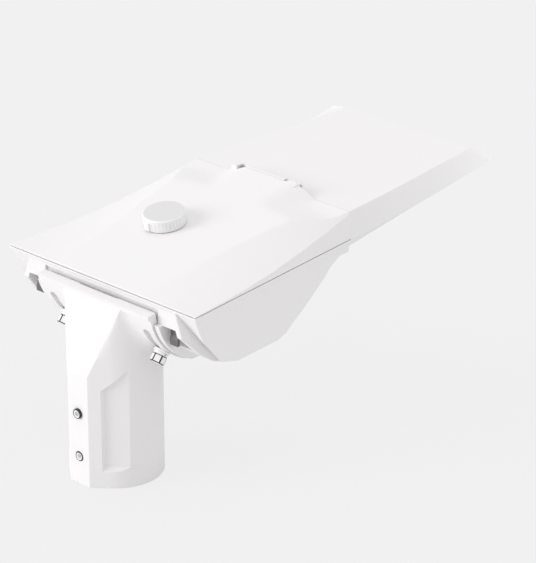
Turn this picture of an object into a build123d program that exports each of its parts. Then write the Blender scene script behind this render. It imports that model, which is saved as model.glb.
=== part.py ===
from build123d import *
import os
from math import atan, cos, hypot, radians, sin, sqrt

# Pole tube. Its mouth is at the origin and its axis is Z.
POLE_R = 38.0
POLE_FIT = 0.25
TUBE_WALL = 6.75
BORE_R = POLE_R + POLE_FIT
TUBE_R = BORE_R + TUBE_WALL
POLE_DEPTH = 100.0
PASSAGE_R = 31.0

# Flat keel on the rear of the tube, where the set screws sit
KEEL_X = -48.0
KEEL_HALF = 12.5
KEEL_TANGENT = 39.4
KEEL_EDGE_R = 1.6
SLANT_FOOT_Z = 113.0
SLANT_TOP_X = -27.2
SLANT_TOP_Z = 181.0
SLANT_WALL = 7.0

# Recessed panels in the two keel facets
PANEL_DEPTH = 3.5
PANEL_NEAR = -5.5
PANEL_FAR = 27.0
PANEL_FOOT = 21.0
PANEL_TOP_NEAR = 98.0
PANEL_TOP_FAR = 130.0
PANEL_BEVEL = 3.0
PANEL_REACH = 10.0

# Tilt joint. Its axis runs along Y.
TILT_X = 47.0
TILT_Z = 196.0
WEB_R = 72.2
WEB_THICK = 7.0
WEB_GAP = 0.3
WEB_HALF = 72.5
WEB_END_ROOM = 5.0
WEB_CLEAR = WEB_HALF + WEB_END_ROOM
WEB_START = 188.0
WEB_END = 256.0
WEB_BLEND_R = 14.0
EAR_FROM_Y = 46.0
EAR_END = 241.0
EAR_CORNER_R = 11.0
LIP_ANGLE = 3.6
LIP_PROUD = 2.6
SLOT_Y = 61.5
SLOT_HALF = 4.3
BOLT_ANGLE = 231.0
TILT_UP = 24.4
TRACK_MARGIN = 0.6
TILT_SLACK = 1.2

# Fasteners
BOLT_R = 4.0
BOLT_FLAT = 6.5
BOLT_HEAD = 8.5
BOLT_GRIP = 16.0
SADDLE_R = 8.0
SADDLE_THICK = 2.1
SPRING_R = 7.2
SPRING_THICK = 2.2
SPRING_SPLIT = 1.0
SCREW_FIT = 0.05
SET_R = 5.0
SET_LENGTH = 10.0
SET_SOCKET = 2.5
SET_SOCKET_DEPTH = 5.5
SET_LOW_Z = 28.5
SET_HIGH_Z = 73.0
SET_LOW_PROUD = 0.8
SET_HIGH_PROUD = 2.6
SMALL_R = 2.0
SMALL_HEAD_R = 3.6
SMALL_HEAD = 2.0
SHANK_SIDES = 12

# Tray, seen from above: a rim that narrows from the rear to the seam
REAR_X = -17.0
SEAM_X = 213.0
RIM_REAR_HALF = 122.2
RIM_SEAM_HALF = 103.0
RIM_Z = 196.0
RIM_BAND = 1.6
RIM_COVE = [(13.0, 3.0), (8.0, 2.6), (4.0, 1.4)]
REAR_SET = 1.3
FLOOR_Z = 130.0

# Rear edge of the tray from above, in X and Z, then the bottom up to the seam
REAR_LINE = [(170.0, 0.0), (151.5, 16.7), (140.5, 31.4)]
BOTTOM_LINE = [(46.0, 131.0), (105.0, 130.0), (117.0, 133.0), (145.0, 149.0), (176.0, 169.0)]
NECK_LINE = [(185.0, 177.0), (207.0, 186.5), (213.0, 188.3)]

# Concave scoops between the rear ribs and the side walls
RIB_TOP_Y = 96.0
RIB_TOP_Z = 193.0
RIB_LOW_Y = 109.4
RIB_LOW_Z = 151.5
SCOOP_EDGE = [(-15.0, 193.0), (-4.0, 166.0), (16.0, 140.0), (30.0, 126.0)]
SCOOP_DEEP = 7.0
SCOOP_BACK = 40.0

# Wall thickness and electrical space of the tray
TRAY_WALL = 4.0
RIM_LAND = 7.0
SPACE_REAR = -10.5
SPACE_MID_HALF = 70.0
SPACE_SIDE_X = 15.5
SPACE_SIDE_HALF = 91.0
SPACE_WIDE_X = 36.0
SPACE_FRONT = 204.0
GROOVE_IN = 2.2
GROOVE_WIDE = 2.6
GROOVE_DEEP = 2.2
GASKET_SIDE = 0.2
GASKET_PROUD = 0.7

# Drum seat at the rear of the tray
CHEEK_R = 70.5
CHEEK_OUT = 79.5
CHEEK_GAP = 1.5
SEAT_TOP = 176.0
RECESS_TOP = 190.5
RECESS_X = -13.2
BOSS_R = 9.0
BOSS_LENGTH = 21.0
BOLT_HOLE = 18.0

# Latch bays
BAY_TOP_Y = 96.0
BAY_LOW_Y = 105.0
BAY_TOP_Z = 176.0
BAY_LOW_Z = 149.5
BAY_FLOOR_X = -4.0
BAY_BACK_X = 8.5
BAY_FLOOR_RISE = 13.5
SHAFT_REAR = -12.7
SHAFT_IN = 81.5
SHAFT_OUT = 94.5
AXLE_X = -5.0
AXLE_Z = 170.0
AXLE_R = 1.6
AXLE_IN = 77.5
AXLE_OUT = 100.0
AXLE_FIT = 0.06
LEVER_HALF = 5.2
LEVER_THICK = 3.0
LEVER_HUB_R = 3.6
LEVER_TOP = 190.0
LEVER_FOOT = 157.0
HOOK_REACH = 5.0
HOOK_THICK = 3.0
HOOK_GAP = 0.4
CATCH_THICK = 3.2
COIL_R = 3.1
COIL_WIRE = 0.8
COIL_IN = 79.9
COIL_OUT = 82.4
COIL_LEG = 10.0

# Head, as sections from the seam to the tip: X, rim height, rim half width, top half width
HEAD_SECTIONS = [(213.0, 196.0, 102.6, 100.5), (263.0, 200.0, 104.0, 97.5), (310.0, 205.0, 105.0, 93.0),
                 (362.0, 212.0, 106.0, 87.5), (412.0, 218.8, 106.3, 82.5)]
HEAD_TIP = (419.5, 221.0, 106.5, 100.5)
UNDER_SLOPE = 0.1515
UNDER_START = 188.3
TOP_START = 224.0
TOP_SLOPE = 0.0125
UNDER_INSET = 3.0
TIP_TOP = 222.4

# Cover, as sections from the rear to the seam: X, shoulder height, shoulder inset, crease half width
COVER_SECTIONS = [(-17.0, 197.7, 0.3, 57.0), (20.0, 198.4, 0.4, 58.5), (56.0, 199.8, 0.5, 62.0),
                  (93.0, 202.8, 0.7, 67.0), (138.0, 208.8, 0.9, 74.0), (180.0, 216.0, 1.2, 80.0),
                  (212.6, 222.5, 1.5, 84.0)]
COVER_FOOT = 197.0
COVER_REAR_Z = 199.3
COVER_SLOPE = 0.1566
COVER_WALL = 3.0
COVER_FLANGE = 3.0
COVER_FRONT = 212.6

# Valleys beside the hump of the cover
VALLEY_Z = 224.0
VALLEY_SLOPE = 0.1
VALLEY_BASE = [(198.0, 55.0), (216.0, 57.3), (216.0, 125.0), (188.0, 125.0)]
VALLEY_SPREAD = [2.3, 0.0, 0.0, 4.5]
VALLEY_TALL = 20.0

# Hinge at the seam
HINGE_X = 215.0
HINGE_Z = 229.4
HINGE_PIN_R = 2.5
HINGE_FIT = 0.06
BARREL_R = 4.3
BARREL_FROM = -17.0
BARREL_TO = 33.0
NOTCH_FROM = -23.5
NOTCH_TO = 40.5
NOTCH_X = 208.5
KNUCKLE_NEAR = 12.0
KNUCKLE_FAR = 6.0
PIN_SHORT = 1.0

# Twist cap and control socket on the cover
CAP_X = 88.5
CAP_Y = 20.0
CAP_R = 20.6
CAP_TOP = 12.9
CAP_FOOT = 2.8
CAP_BEVEL = 1.3
CAP_CROWN = 2.8
CAP_RIBS = 36
CAP_RIB_DEEP = 0.5
CAP_RIB_HALF = 1.0
CAP_RIB_TOP = 10.6
CAP_TAB_REACH = 2.6
CAP_TAB_HALF = 2.2
CAP_TAB_ANGLE = 215.0
RIM_OUT_R = 17.2
CAP_IN_R = 17.7
NECK_R = 15.9
LUG_IN_R = 16.3
LUG_SPAN = 26.0
LUG_GAP_SPAN = 34.0
LUG_COUNT = 3
LUG_TURN = 35.0
LUG_LOW = 3.1
LUG_HIGH = 4.7
RIM_LOW = 5.1
NECK_TOP = 8.5
NECK_BORE_R = 13.2
CONTACT_FLOOR = 3.4
CONTACT_WIDE = 1.6
CONTACT_LONG = 5.0
CONTACT_RING_R = 8.0
CONTACT_COUNT = 4
FLANGE_R = 18.6
FLANGE_LOW = 1.4
FLANGE_HIGH = 2.4
SOCKET_GASKET_LOW = 0.1
SOCKET_THREAD_R = 14.4
SOCKET_HOLE_R = 14.8
SOCKET_DEEP = 21.0
NUT_R = 19.0
NUT_LOW = 9.5
NUT_HIGH = 3.3
NUT_FLATS = 8
SEAL_OUT_R = 17.0
SEAL_IN_R = 13.6
SEAL_THICK = 1.1

# Light-emitting end, measured square to the sloping underside of the head
OPTIC_X = 290.0
FRAME_LONG = 122.0
FRAME_WIDE = 186.0
FRAME_R = 9.0
FRAME_THICK = 3.0
FRAME_GAP = 0.25
FRAME_BAR_LONG = 9.0
FRAME_BAR_WIDE = 10.0
GLASS_LONG = FRAME_LONG - FRAME_BAR_LONG * 2
GLASS_WIDE = FRAME_WIDE - FRAME_BAR_WIDE * 2
GLASS_R = 5.0
GLASS_THICK = 4.0
GLASS_SEAT = 0.5
SEAL_WIDTH = 3.0
SEAL_HIGH = 1.0
GLASS_LEDGE = 3.5
CHAMBER_LONG = GLASS_LONG - GLASS_LEDGE * 2
CHAMBER_WIDE = GLASS_WIDE - GLASS_LEDGE * 2
CHAMBER_TOP = 14.4
BOARD_GAP = 2.0
BOARD_LONG = CHAMBER_LONG - BOARD_GAP * 2
BOARD_WIDE = CHAMBER_WIDE - BOARD_GAP * 2
BOARD_THICK = 1.6
LENS_ROWS = 4
LENS_COLUMNS = 8
LENS_PITCH_LONG = 21.0
LENS_PITCH_WIDE = 18.0
LENS_R = 6.5
LENS_TIP_R = 4.2
LENS_SIDES = 8
LENS_LOW = 8.7
LENS_PLATE_LOW = 10.2
LENS_PLATE_HIGH = 11.5
LED_SIZE = 3.5
LED_HIGH = 0.9
FRAME_SCREW_IN = 4.2
FRAME_SCREW_SIDE_IN = 4.6
FRAME_SCREW_LONG = FRAME_LONG / 2 - FRAME_SCREW_IN
FRAME_SCREW_WIDE = FRAME_WIDE / 2 - FRAME_SCREW_SIDE_IN
BOARD_SCREW_IN = 3.5
BOARD_SCREW_SIDE_IN = 4.5
BOARD_SCREW_LONG = BOARD_LONG / 2 - BOARD_SCREW_IN
BOARD_SCREW_WIDE = BOARD_WIDE / 2 - BOARD_SCREW_SIDE_IN

# Wire duct from the tray into the head
DUCT_FROM = (190.0, 181.5)
DUCT_TO = (246.0, 203.9)
DUCT_R = 6.5
DUCT_BORE_R = 3.0
GROMMET_R = 4.6
GROMMET_LONG = 5.0

# Cable gland in the drum wall
GLAND_ANGLE = 240.0
GLAND_THREAD_R = 10.0
GLAND_HEX = 12.0
GLAND_HEX_LONG = 7.0
GLAND_CAP_R = 11.4
GLAND_CAP_LONG = 9.0
GLAND_BORE_R = 5.2
GLAND_INSIDE = 7.0
GLAND_NUT_LONG = 4.5
GLAND_SEAT = 63.3

# Gear in the tray
PLATE_FROM = 38.0
PLATE_TO = 126.0
PLATE_HALF = 88.0
PLATE_Z = 146.0
PLATE_THICK = 2.0
PLATE_POST_X = [46.0, 114.0]
PLATE_POST_Y = 80.0
POST_R = 5.0
DRIVER_X = 90.0
DRIVER_LONG = 58.0
DRIVER_HALF = 66.0
DRIVER_HIGH = 33.0
DRIVER_EDGE_R = 3.0
DRIVER_EAR = 9.0
DRIVER_EAR_HIGH = 3.0
DRIVER_RIB_COUNT = 7
DRIVER_RIB_HIGH = 1.2
DRIVER_SCREW_X = 20.0
BLOCK_X = 49.0
BLOCK_Y = 40.0
BLOCK_LONG = 15.0
BLOCK_WIDE = 42.0
BLOCK_HIGH = 17.0
BLOCK_WAYS = 5
BLOCK_HOLE_R = 2.2
SURGE_Y = -41.0
SURGE_LONG = 16.0
SURGE_WIDE = 44.0
SURGE_HIGH = 24.0
CLAMP_LONG = 12.0
CLAMP_HALF = 16.0
CLAMP_R = 5.0
CLAMP_THICK = 3.0
CLAMP_SCREW_Y = 12.2
BREATHER_X = 86.0
BREATHER_Y = -62.0
BREATHER_R = 8.0
BREATHER_LOW = 4.0
BREATHER_STEM_R = 5.0


def face_of(points):
    return Face(Wire.make_polygon([Vector(*point) for point in points], close=True))


def prism_y(points, start, end):
    flat = face_of([(x, start, z) for x, z in points])
    return extrude(flat, end - start, dir=(0, 1, 0))


def prism_z(points, start, end):
    flat = face_of([(x, y, start) for x, y in points])
    return extrude(flat, end - start, dir=(0, 0, 1))


def rod_y(x, z, radius, start, end):
    return Pos(x, (start + end) / 2, z) * Rot(90, 0, 0) * Cylinder(radius, end - start)


def block(x_pair, y_pair, z_pair):
    size = [pair[1] - pair[0] for pair in (x_pair, y_pair, z_pair)]
    middle = [(pair[1] + pair[0]) / 2 for pair in (x_pair, y_pair, z_pair)]
    return Pos(*middle) * Box(*size)


def mirrored(shape):
    return mirror(shape, about=Plane.XZ)


def both(shape):
    return shape + mirrored(shape)


def on_arc(radius, angle):
    turn = radians(angle)
    return TILT_X + radius * cos(turn), TILT_Z + radius * sin(turn)


def arc_band(inner, outer, start, end, y_from, y_to):
    ring = rod_y(TILT_X, TILT_Z, outer, y_from, y_to) - rod_y(TILT_X, TILT_Z, inner, y_from, y_to)
    reach = outer * 3
    wedge = [(TILT_X, TILT_Z), on_arc(reach, start), on_arc(reach, (start + end) / 2), on_arc(reach, end)]
    return ring & prism_y(wedge, y_from, y_to)


def radial_plane(angle, y, radius=0.0):
    x, z = on_arc(radius, angle)
    outward = (cos(radians(angle)), 0, sin(radians(angle)))
    return Plane(origin=(x, y, z), x_dir=(0, 1, 0), z_dir=outward)


def hexagon(flat_half, height):
    return extrude(RegularPolygon(flat_half, 6, major_radius=False), height)


def tube_outline():
    turn = radians(KEEL_TANGENT)
    touch = (-TUBE_R * cos(turn), TUBE_R * sin(turn))
    return [(KEEL_X, -KEEL_HALF), (KEEL_X, KEEL_HALF), touch, (touch[0], -touch[1])]


def slant_cutter(shift):
    run = (SLANT_TOP_X - KEEL_X) / (SLANT_TOP_Z - SLANT_FOOT_Z)
    low, high = SLANT_FOOT_Z - POLE_DEPTH / 2, TILT_Z + TUBE_R
    far = KEEL_X * 3
    low_x = KEEL_X + shift + run * (low - SLANT_FOOT_Z)
    high_x = KEEL_X + shift + run * (high - SLANT_FOOT_Z)
    return prism_y([(far, low), (low_x, low), (high_x, high), (far, high)], -WEB_CLEAR, WEB_CLEAR)


def panel_cutter():
    turn = radians(180 - KEEL_TANGENT)
    outward = (cos(turn), sin(turn), 0)
    along = (sin(turn), -cos(turn), 0)
    plane = Plane(origin=tuple(c * (TUBE_R - PANEL_DEPTH) for c in outward), x_dir=along, z_dir=outward)
    rise = (PANEL_TOP_FAR - PANEL_TOP_NEAR) / (PANEL_FAR - PANEL_NEAR)
    layers = []
    for height, grow in ((0.0, 0.0), (PANEL_REACH, PANEL_BEVEL * PANEL_REACH / PANEL_DEPTH)):
        near = PANEL_NEAR - grow / 2
        far = PANEL_FAR + grow
        corners = [(near, PANEL_FOOT - grow), (far, PANEL_FOOT - grow),
                   (far, PANEL_TOP_FAR + grow * (1 + rise)), (near, PANEL_TOP_NEAR + grow / 2)]
        layers.append(face_of([plane.from_local_coords((u, v, height)) for u, v in corners]))
    return loft(layers, ruled=True)


def tilt_slot(y):
    start, end = BOLT_ANGLE - TILT_UP, BOLT_ANGLE + TILT_SLACK
    inner, outer = WEB_R - WEB_THICK * 2, WEB_R + WEB_THICK * 2
    slot = arc_band(inner, outer, start, end, y - SLOT_HALF, y + SLOT_HALF)
    for angle in (start, end):
        slot += radial_plane(angle, y, inner) * extrude(Circle(SLOT_HALF), outer - inner)
    return slot


def washer_track():
    reach = SADDLE_R + TRACK_MARGIN
    turn = reach / WEB_R / radians(1)
    return arc_band(WEB_R, WEB_R + TUBE_WALL * 3, BOLT_ANGLE - TILT_UP - turn, BOLT_ANGLE + turn * 2,
                    SLOT_Y - reach, WEB_HALF + 1)


def ear_cutter():
    drop = radians(EAR_END - BOLT_ANGLE) * WEB_R
    sketch = Pos((EAR_FROM_Y + WEB_R) / 2, drop) * Rectangle(WEB_R - EAR_FROM_Y, drop * 2)
    centre = (WEB_HALF - EAR_CORNER_R, drop - EAR_CORNER_R)
    sketch -= Pos((EAR_FROM_Y + centre[0]) / 2, drop / 2) * Rectangle(centre[0] - EAR_FROM_Y, drop)
    sketch -= Pos(*centre) * Circle(EAR_CORNER_R)
    return radial_plane(BOLT_ANGLE, 0, WEB_R - WEB_THICK * 3) * extrude(sketch, WEB_THICK * 6)


def mounting_piece():
    drum = rod_y(TILT_X, TILT_Z, WEB_R, -WEB_HALF, WEB_HALF)
    body = Pos(0, 0, TILT_Z / 2) * Cylinder(TUBE_R, TILT_Z) + drum
    crease = [edge for edge in body.edges() if edge.geom_type not in (GeomType.LINE, GeomType.CIRCLE)]
    body = fillet(crease, WEB_BLEND_R)
    keel = prism_z(tube_outline(), 0, TILT_Z)
    keel_edges = keel.edges().filter_by(Axis.Z).group_by(Axis.X)[0]
    body += fillet(keel_edges, KEEL_EDGE_R)
    body -= slant_cutter(0)
    body += arc_band(WEB_R - 1, WEB_R + LIP_PROUD, WEB_START, WEB_START + LIP_ANGLE, -WEB_HALF, WEB_HALF)
    body -= rod_y(TILT_X, TILT_Z, WEB_R - WEB_THICK, -WEB_CLEAR, WEB_CLEAR)
    reach = WEB_R * 2
    above = [(TILT_X, TILT_Z), on_arc(reach, WEB_START), (TILT_X - reach, TILT_Z + reach),
             (TILT_X + reach, TILT_Z + reach), (TILT_X + reach, TILT_Z)]
    body -= prism_y(above, -WEB_CLEAR, WEB_CLEAR)
    front = prism_y([(TILT_X, TILT_Z), on_arc(reach, WEB_END), on_arc(reach, 300), on_arc(reach, 360)],
                    -WEB_CLEAR, WEB_CLEAR)
    body -= front & rod_y(TILT_X, TILT_Z, WEB_R, -WEB_CLEAR, WEB_CLEAR)
    body -= block((TUBE_R, WEB_R * 2), (-WEB_CLEAR, WEB_CLEAR), (0, TILT_Z))
    ear = ear_cutter()
    body -= ear
    body -= mirrored(ear)
    panel = panel_cutter()
    body -= panel
    body -= mirrored(panel)
    body -= Pos(0, 0, POLE_DEPTH / 2) * Cylinder(BORE_R, POLE_DEPTH)
    passage = Pos(0, 0, (POLE_DEPTH + TILT_Z) / 2) * Cylinder(PASSAGE_R, TILT_Z - POLE_DEPTH + 1)
    body -= passage - slant_cutter(SLANT_WALL)
    track = washer_track()
    body -= track
    body -= mirrored(track)
    for y in (-SLOT_Y, SLOT_Y):
        body -= tilt_slot(y)
    for z in (SET_LOW_Z, SET_HIGH_Z):
        hole = Pos(KEEL_X, 0, z) * Rot(0, 90, 0) * Cylinder(SET_R + SCREW_FIT, TUBE_R)
        body -= hole
    return body


def set_screws():
    group = Part()
    for z, proud in ((SET_LOW_Z, SET_LOW_PROUD), (SET_HIGH_Z, SET_HIGH_PROUD)):
        screw = chamfer(Cylinder(SET_R, SET_LENGTH).edges().filter_by(GeomType.CIRCLE), 0.6)
        screw -= Pos(0, 0, SET_LENGTH / 2 - SET_SOCKET_DEPTH) * hexagon(SET_SOCKET, SET_SOCKET_DEPTH)
        group += Pos(KEEL_X - proud + SET_LENGTH / 2, 0, z) * Rot(0, -90, 0) * screw
    return group


def tilt_bolts():
    seat = WEB_R + SADDLE_THICK + SPRING_THICK
    tip = WEB_R - WEB_THICK - WEB_GAP - BOLT_GRIP
    group = Part()
    for y in (-SLOT_Y, SLOT_Y):
        head = hexagon(BOLT_FLAT, BOLT_HEAD) & extrude(Circle(BOLT_FLAT * 1.1), BOLT_HEAD)
        bolt = Pos(0, 0, seat) * head
        bolt += Pos(0, 0, tip) * extrude(Circle(BOLT_R), seat - tip)
        ends = bolt.edges().filter_by(GeomType.CIRCLE).group_by(Axis.Z)[0]
        group += radial_plane(BOLT_ANGLE, y) * chamfer(ends, 0.8)
    return group


def saddle_washers():
    group = Part()
    curve = rod_y(TILT_X, TILT_Z, WEB_R + WEB_GAP, -WEB_CLEAR, WEB_CLEAR)
    for y in (-SLOT_Y, SLOT_Y):
        ring = Circle(SADDLE_R) - Circle(BOLT_R + SCREW_FIT * 4)
        washer = extrude(ring, SADDLE_THICK + 1)
        group += radial_plane(BOLT_ANGLE, y, WEB_R - 1) * washer
    return group - curve


def spring_washers():
    group = Part()
    for y in (-SLOT_Y, SLOT_Y):
        ring = Circle(SPRING_R) - Circle(BOLT_R + SCREW_FIT * 4)
        washer = extrude(ring, SPRING_THICK)
        washer -= Pos(SPRING_R, 0, SPRING_THICK / 2) * Rot(25, 0, 0) * Box(SPRING_R, SPRING_SPLIT, SPRING_THICK * 2)
        group += radial_plane(BOLT_ANGLE, y, WEB_R + SADDLE_THICK) * washer
    return group


def rim_half(x):
    share = (x - REAR_X) / (SEAM_X - REAR_X)
    return RIM_REAR_HALF + (RIM_SEAM_HALF - RIM_REAR_HALF) * share


def tray_plan(inset, rear_inset):
    rear = REAR_X + rear_inset
    return [(rear, -rim_half(rear) + inset), (SEAM_X, -rim_half(SEAM_X) + inset),
            (SEAM_X, rim_half(SEAM_X) - inset), (rear, rim_half(rear) - inset)]


def space_plan(grow):
    outline = [(SPACE_REAR, SPACE_MID_HALF), (SPACE_SIDE_X, SPACE_MID_HALF), (SPACE_SIDE_X, SPACE_SIDE_HALF),
               (SPACE_WIDE_X, rim_half(SPACE_WIDE_X) - RIM_LAND), (SPACE_FRONT, rim_half(SPACE_FRONT) - RIM_LAND)]
    corners = outline + [(x, -y) for x, y in reversed(outline)]
    sketch = make_face(Polyline(*corners, close=True))
    if grow:
        sketch = offset(sketch, grow, kind=Kind.INTERSECTION)
    return sketch


def head_section(x, rim_z, rim_w, top_w, top_z):
    low = UNDER_START + UNDER_SLOPE * (x - SEAM_X)
    half = [(rim_w - UNDER_INSET, low), (rim_w, rim_z), (top_w, top_z)]
    ring = half + [(-y, z) for y, z in reversed(half)]
    return face_of([(x, y, z) for y, z in ring])


def head_block():
    sections = [head_section(x, rim, wide, top, TOP_START + TOP_SLOPE * (x - SEAM_X))
                for x, rim, wide, top in HEAD_SECTIONS]
    body = loft(sections, ruled=True)
    x, rim, wide, top = HEAD_TIP
    last = HEAD_SECTIONS[-1]
    low = UNDER_START + UNDER_SLOPE * (x - SEAM_X)
    tip = face_of([(x, -wide + UNDER_INSET, low), (x, wide - UNDER_INSET, low), (x, wide, rim),
                   (x, top, TIP_TOP), (x, -top, TIP_TOP), (x, -wide, rim)])
    base = face_of([(last[0], -last[2] + UNDER_INSET, UNDER_START + UNDER_SLOPE * (last[0] - SEAM_X)),
                    (last[0], last[2] - UNDER_INSET, UNDER_START + UNDER_SLOPE * (last[0] - SEAM_X)),
                    (last[0], last[2], last[1]),
                    (last[0], last[3], TOP_START + TOP_SLOPE * (last[0] - SEAM_X)),
                    (last[0], -last[3], TOP_START + TOP_SLOPE * (last[0] - SEAM_X)),
                    (last[0], -last[2], last[1])])
    return body + loft([base, tip], ruled=True)


def tray_profile():
    rear = REAR_X + REAR_SET
    line = [(rear, RIM_Z), *[(rear + run, z) for z, run in REAR_LINE], *BOTTOM_LINE, *NECK_LINE]
    return line + [(SEAM_X, RIM_Z)]


def tray_block():
    body = prism_y(tray_profile(), -RIM_REAR_HALF, RIM_REAR_HALF)
    body &= prism_z(tray_plan(RIM_COVE[0][1], 0), FLOOR_Z - 1, RIM_Z)
    layers = [face_of([(x, y, RIM_Z - drop) for x, y in tray_plan(inset, REAR_SET)]) for drop, inset in RIM_COVE]
    layers.append(face_of([(x, y, RIM_Z - RIM_BAND) for x, y in tray_plan(0, 0)]))
    body += loft(layers)
    return body + prism_z(tray_plan(0, 0), RIM_Z - RIM_BAND, RIM_Z)


def scoop_cutter():
    lean = (RIB_LOW_Y - RIB_TOP_Y) / (RIB_TOP_Z - RIB_LOW_Z)
    ring = SCOOP_EDGE + [(SCOOP_EDGE[0][0] - SCOOP_BACK, SCOOP_EDGE[-1][1]),
                         (SCOOP_EDGE[0][0] - SCOOP_BACK, SCOOP_EDGE[0][1])]
    deep = [(x + SCOOP_DEEP if index < len(SCOOP_EDGE) and index else x, z) for index, (x, z) in enumerate(ring)]
    near = face_of([(x, RIB_TOP_Y + lean * (RIB_TOP_Z - z), z) for x, z in deep])
    far = face_of([(x, RIM_REAR_HALF + 1, z) for x, z in ring])
    return loft([near, far], ruled=True)


def bay_cutter():
    lean = (BAY_LOW_Y - BAY_TOP_Y) / (BAY_TOP_Z - BAY_LOW_Z)
    back = REAR_X - SCOOP_BACK
    ring = [(back, BAY_LOW_Z), (BAY_FLOOR_X, BAY_LOW_Z), (BAY_BACK_X, BAY_LOW_Z + BAY_FLOOR_RISE),
            (BAY_BACK_X, BAY_TOP_Z), (back, BAY_TOP_Z)]
    near = face_of([(x, CHEEK_OUT, z) for x, z in ring])
    far = face_of([(x, BAY_TOP_Y + lean * (BAY_TOP_Z - z), z) for x, z in ring])
    shaft = block((SHAFT_REAR, BAY_BACK_X), (SHAFT_IN, SHAFT_OUT), (AXLE_Z, RIM_Z + 1))
    axle = rod_y(AXLE_X, AXLE_Z, AXLE_R + SCREW_FIT, AXLE_IN, AXLE_OUT)
    return loft([near, far], ruled=True) + shaft + axle


def tray_space():
    wall = TRAY_WALL
    floor = [(BOTTOM_LINE[0][0], BOTTOM_LINE[0][1] + wall)]
    floor += [(x - wall / 4, z + wall) for x, z in BOTTOM_LINE[1:3]]
    floor += [(x - wall / 2, z + wall) for x, z in BOTTOM_LINE[3:]]
    floor += [(x - wall / 3, z + wall) for x, z in NECK_LINE[:2]]
    top = RIM_Z + 1
    front = [(SPACE_FRONT, floor[-1][1]), (SPACE_FRONT, top)]
    inner = WEB_R - WEB_THICK - WEB_GAP - wall
    rear = [(SPACE_REAR, top), (SPACE_REAR, on_arc(inner, 205)[1])]
    rear += [on_arc(inner, angle) for angle in (213, 223, 233, 243, 252)]
    mid = prism_y(rear + floor + front, -SPACE_MID_HALF, SPACE_MID_HALF)
    side_rear = [(SPACE_SIDE_X, top), (SPACE_SIDE_X, 165), (28, 149), (40, 138)]
    side = prism_y(side_rear + floor + front, -RIM_REAR_HALF, RIM_REAR_HALF)
    plan = extrude(space_plan(0), RIM_Z + 1)
    return (mid + side) & plan


def optic_plane():
    lean = atan(UNDER_SLOPE)
    low = UNDER_START + UNDER_SLOPE * (OPTIC_X - SEAM_X)
    return Plane(origin=(OPTIC_X, 0, low), x_dir=(cos(lean), 0, sin(lean)), z_dir=(-sin(lean), 0, cos(lean)))


def optic_slab(long, wide, corner, low, high):
    return optic_plane() * Pos(0, 0, low) * extrude(RectangleRounded(long, wide, corner), high - low)


def frame_screw_spots():
    third = FRAME_WIDE / 3
    spots = [(x, y) for x in (-FRAME_SCREW_LONG, FRAME_SCREW_LONG) for y in (-third, 0, third)]
    return spots + [(0, -FRAME_SCREW_WIDE), (0, FRAME_SCREW_WIDE)]


def board_screw_spots():
    return [(x, y) for x in (-BOARD_SCREW_LONG, 0, BOARD_SCREW_LONG) for y in (-BOARD_SCREW_WIDE, BOARD_SCREW_WIDE)]


def duct_length():
    return hypot(DUCT_TO[0] - DUCT_FROM[0], DUCT_TO[1] - DUCT_FROM[1])


def duct(radius, start_more=0.0, end_more=0.0):
    rise = (DUCT_TO[1] - DUCT_FROM[1]) / (DUCT_TO[0] - DUCT_FROM[0])
    step = Vector(1, 0, rise).normalized()
    start = Vector(DUCT_FROM[0], 0, DUCT_FROM[1]) - step * start_more
    end = Vector(DUCT_TO[0], 0, DUCT_TO[1]) + step * end_more
    plane = Plane(origin=start, x_dir=(0, 1, 0), z_dir=step)
    return plane * extrude(Circle(radius), (end - start).length)


def optic_cuts():
    cut = optic_slab(FRAME_LONG, FRAME_WIDE, FRAME_R, -10, FRAME_THICK)
    pocket_top = FRAME_THICK + SEAL_HIGH + GLASS_THICK + GLASS_SEAT
    cut += optic_slab(GLASS_LONG + 1, GLASS_WIDE + 1, GLASS_R + 0.5, 0, pocket_top)
    cut += optic_slab(CHAMBER_LONG, CHAMBER_WIDE, GLASS_R, 0, CHAMBER_TOP)
    for x, y in frame_screw_spots():
        cut += optic_plane() * Pos(x, y, 0) * extrude(Circle(SMALL_R + SCREW_FIT), 11)
    for x, y in board_screw_spots():
        cut += optic_plane() * Pos(x, y, CHAMBER_TOP) * extrude(Circle(SMALL_R / 2 + SCREW_FIT), 2)
    return cut


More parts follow.
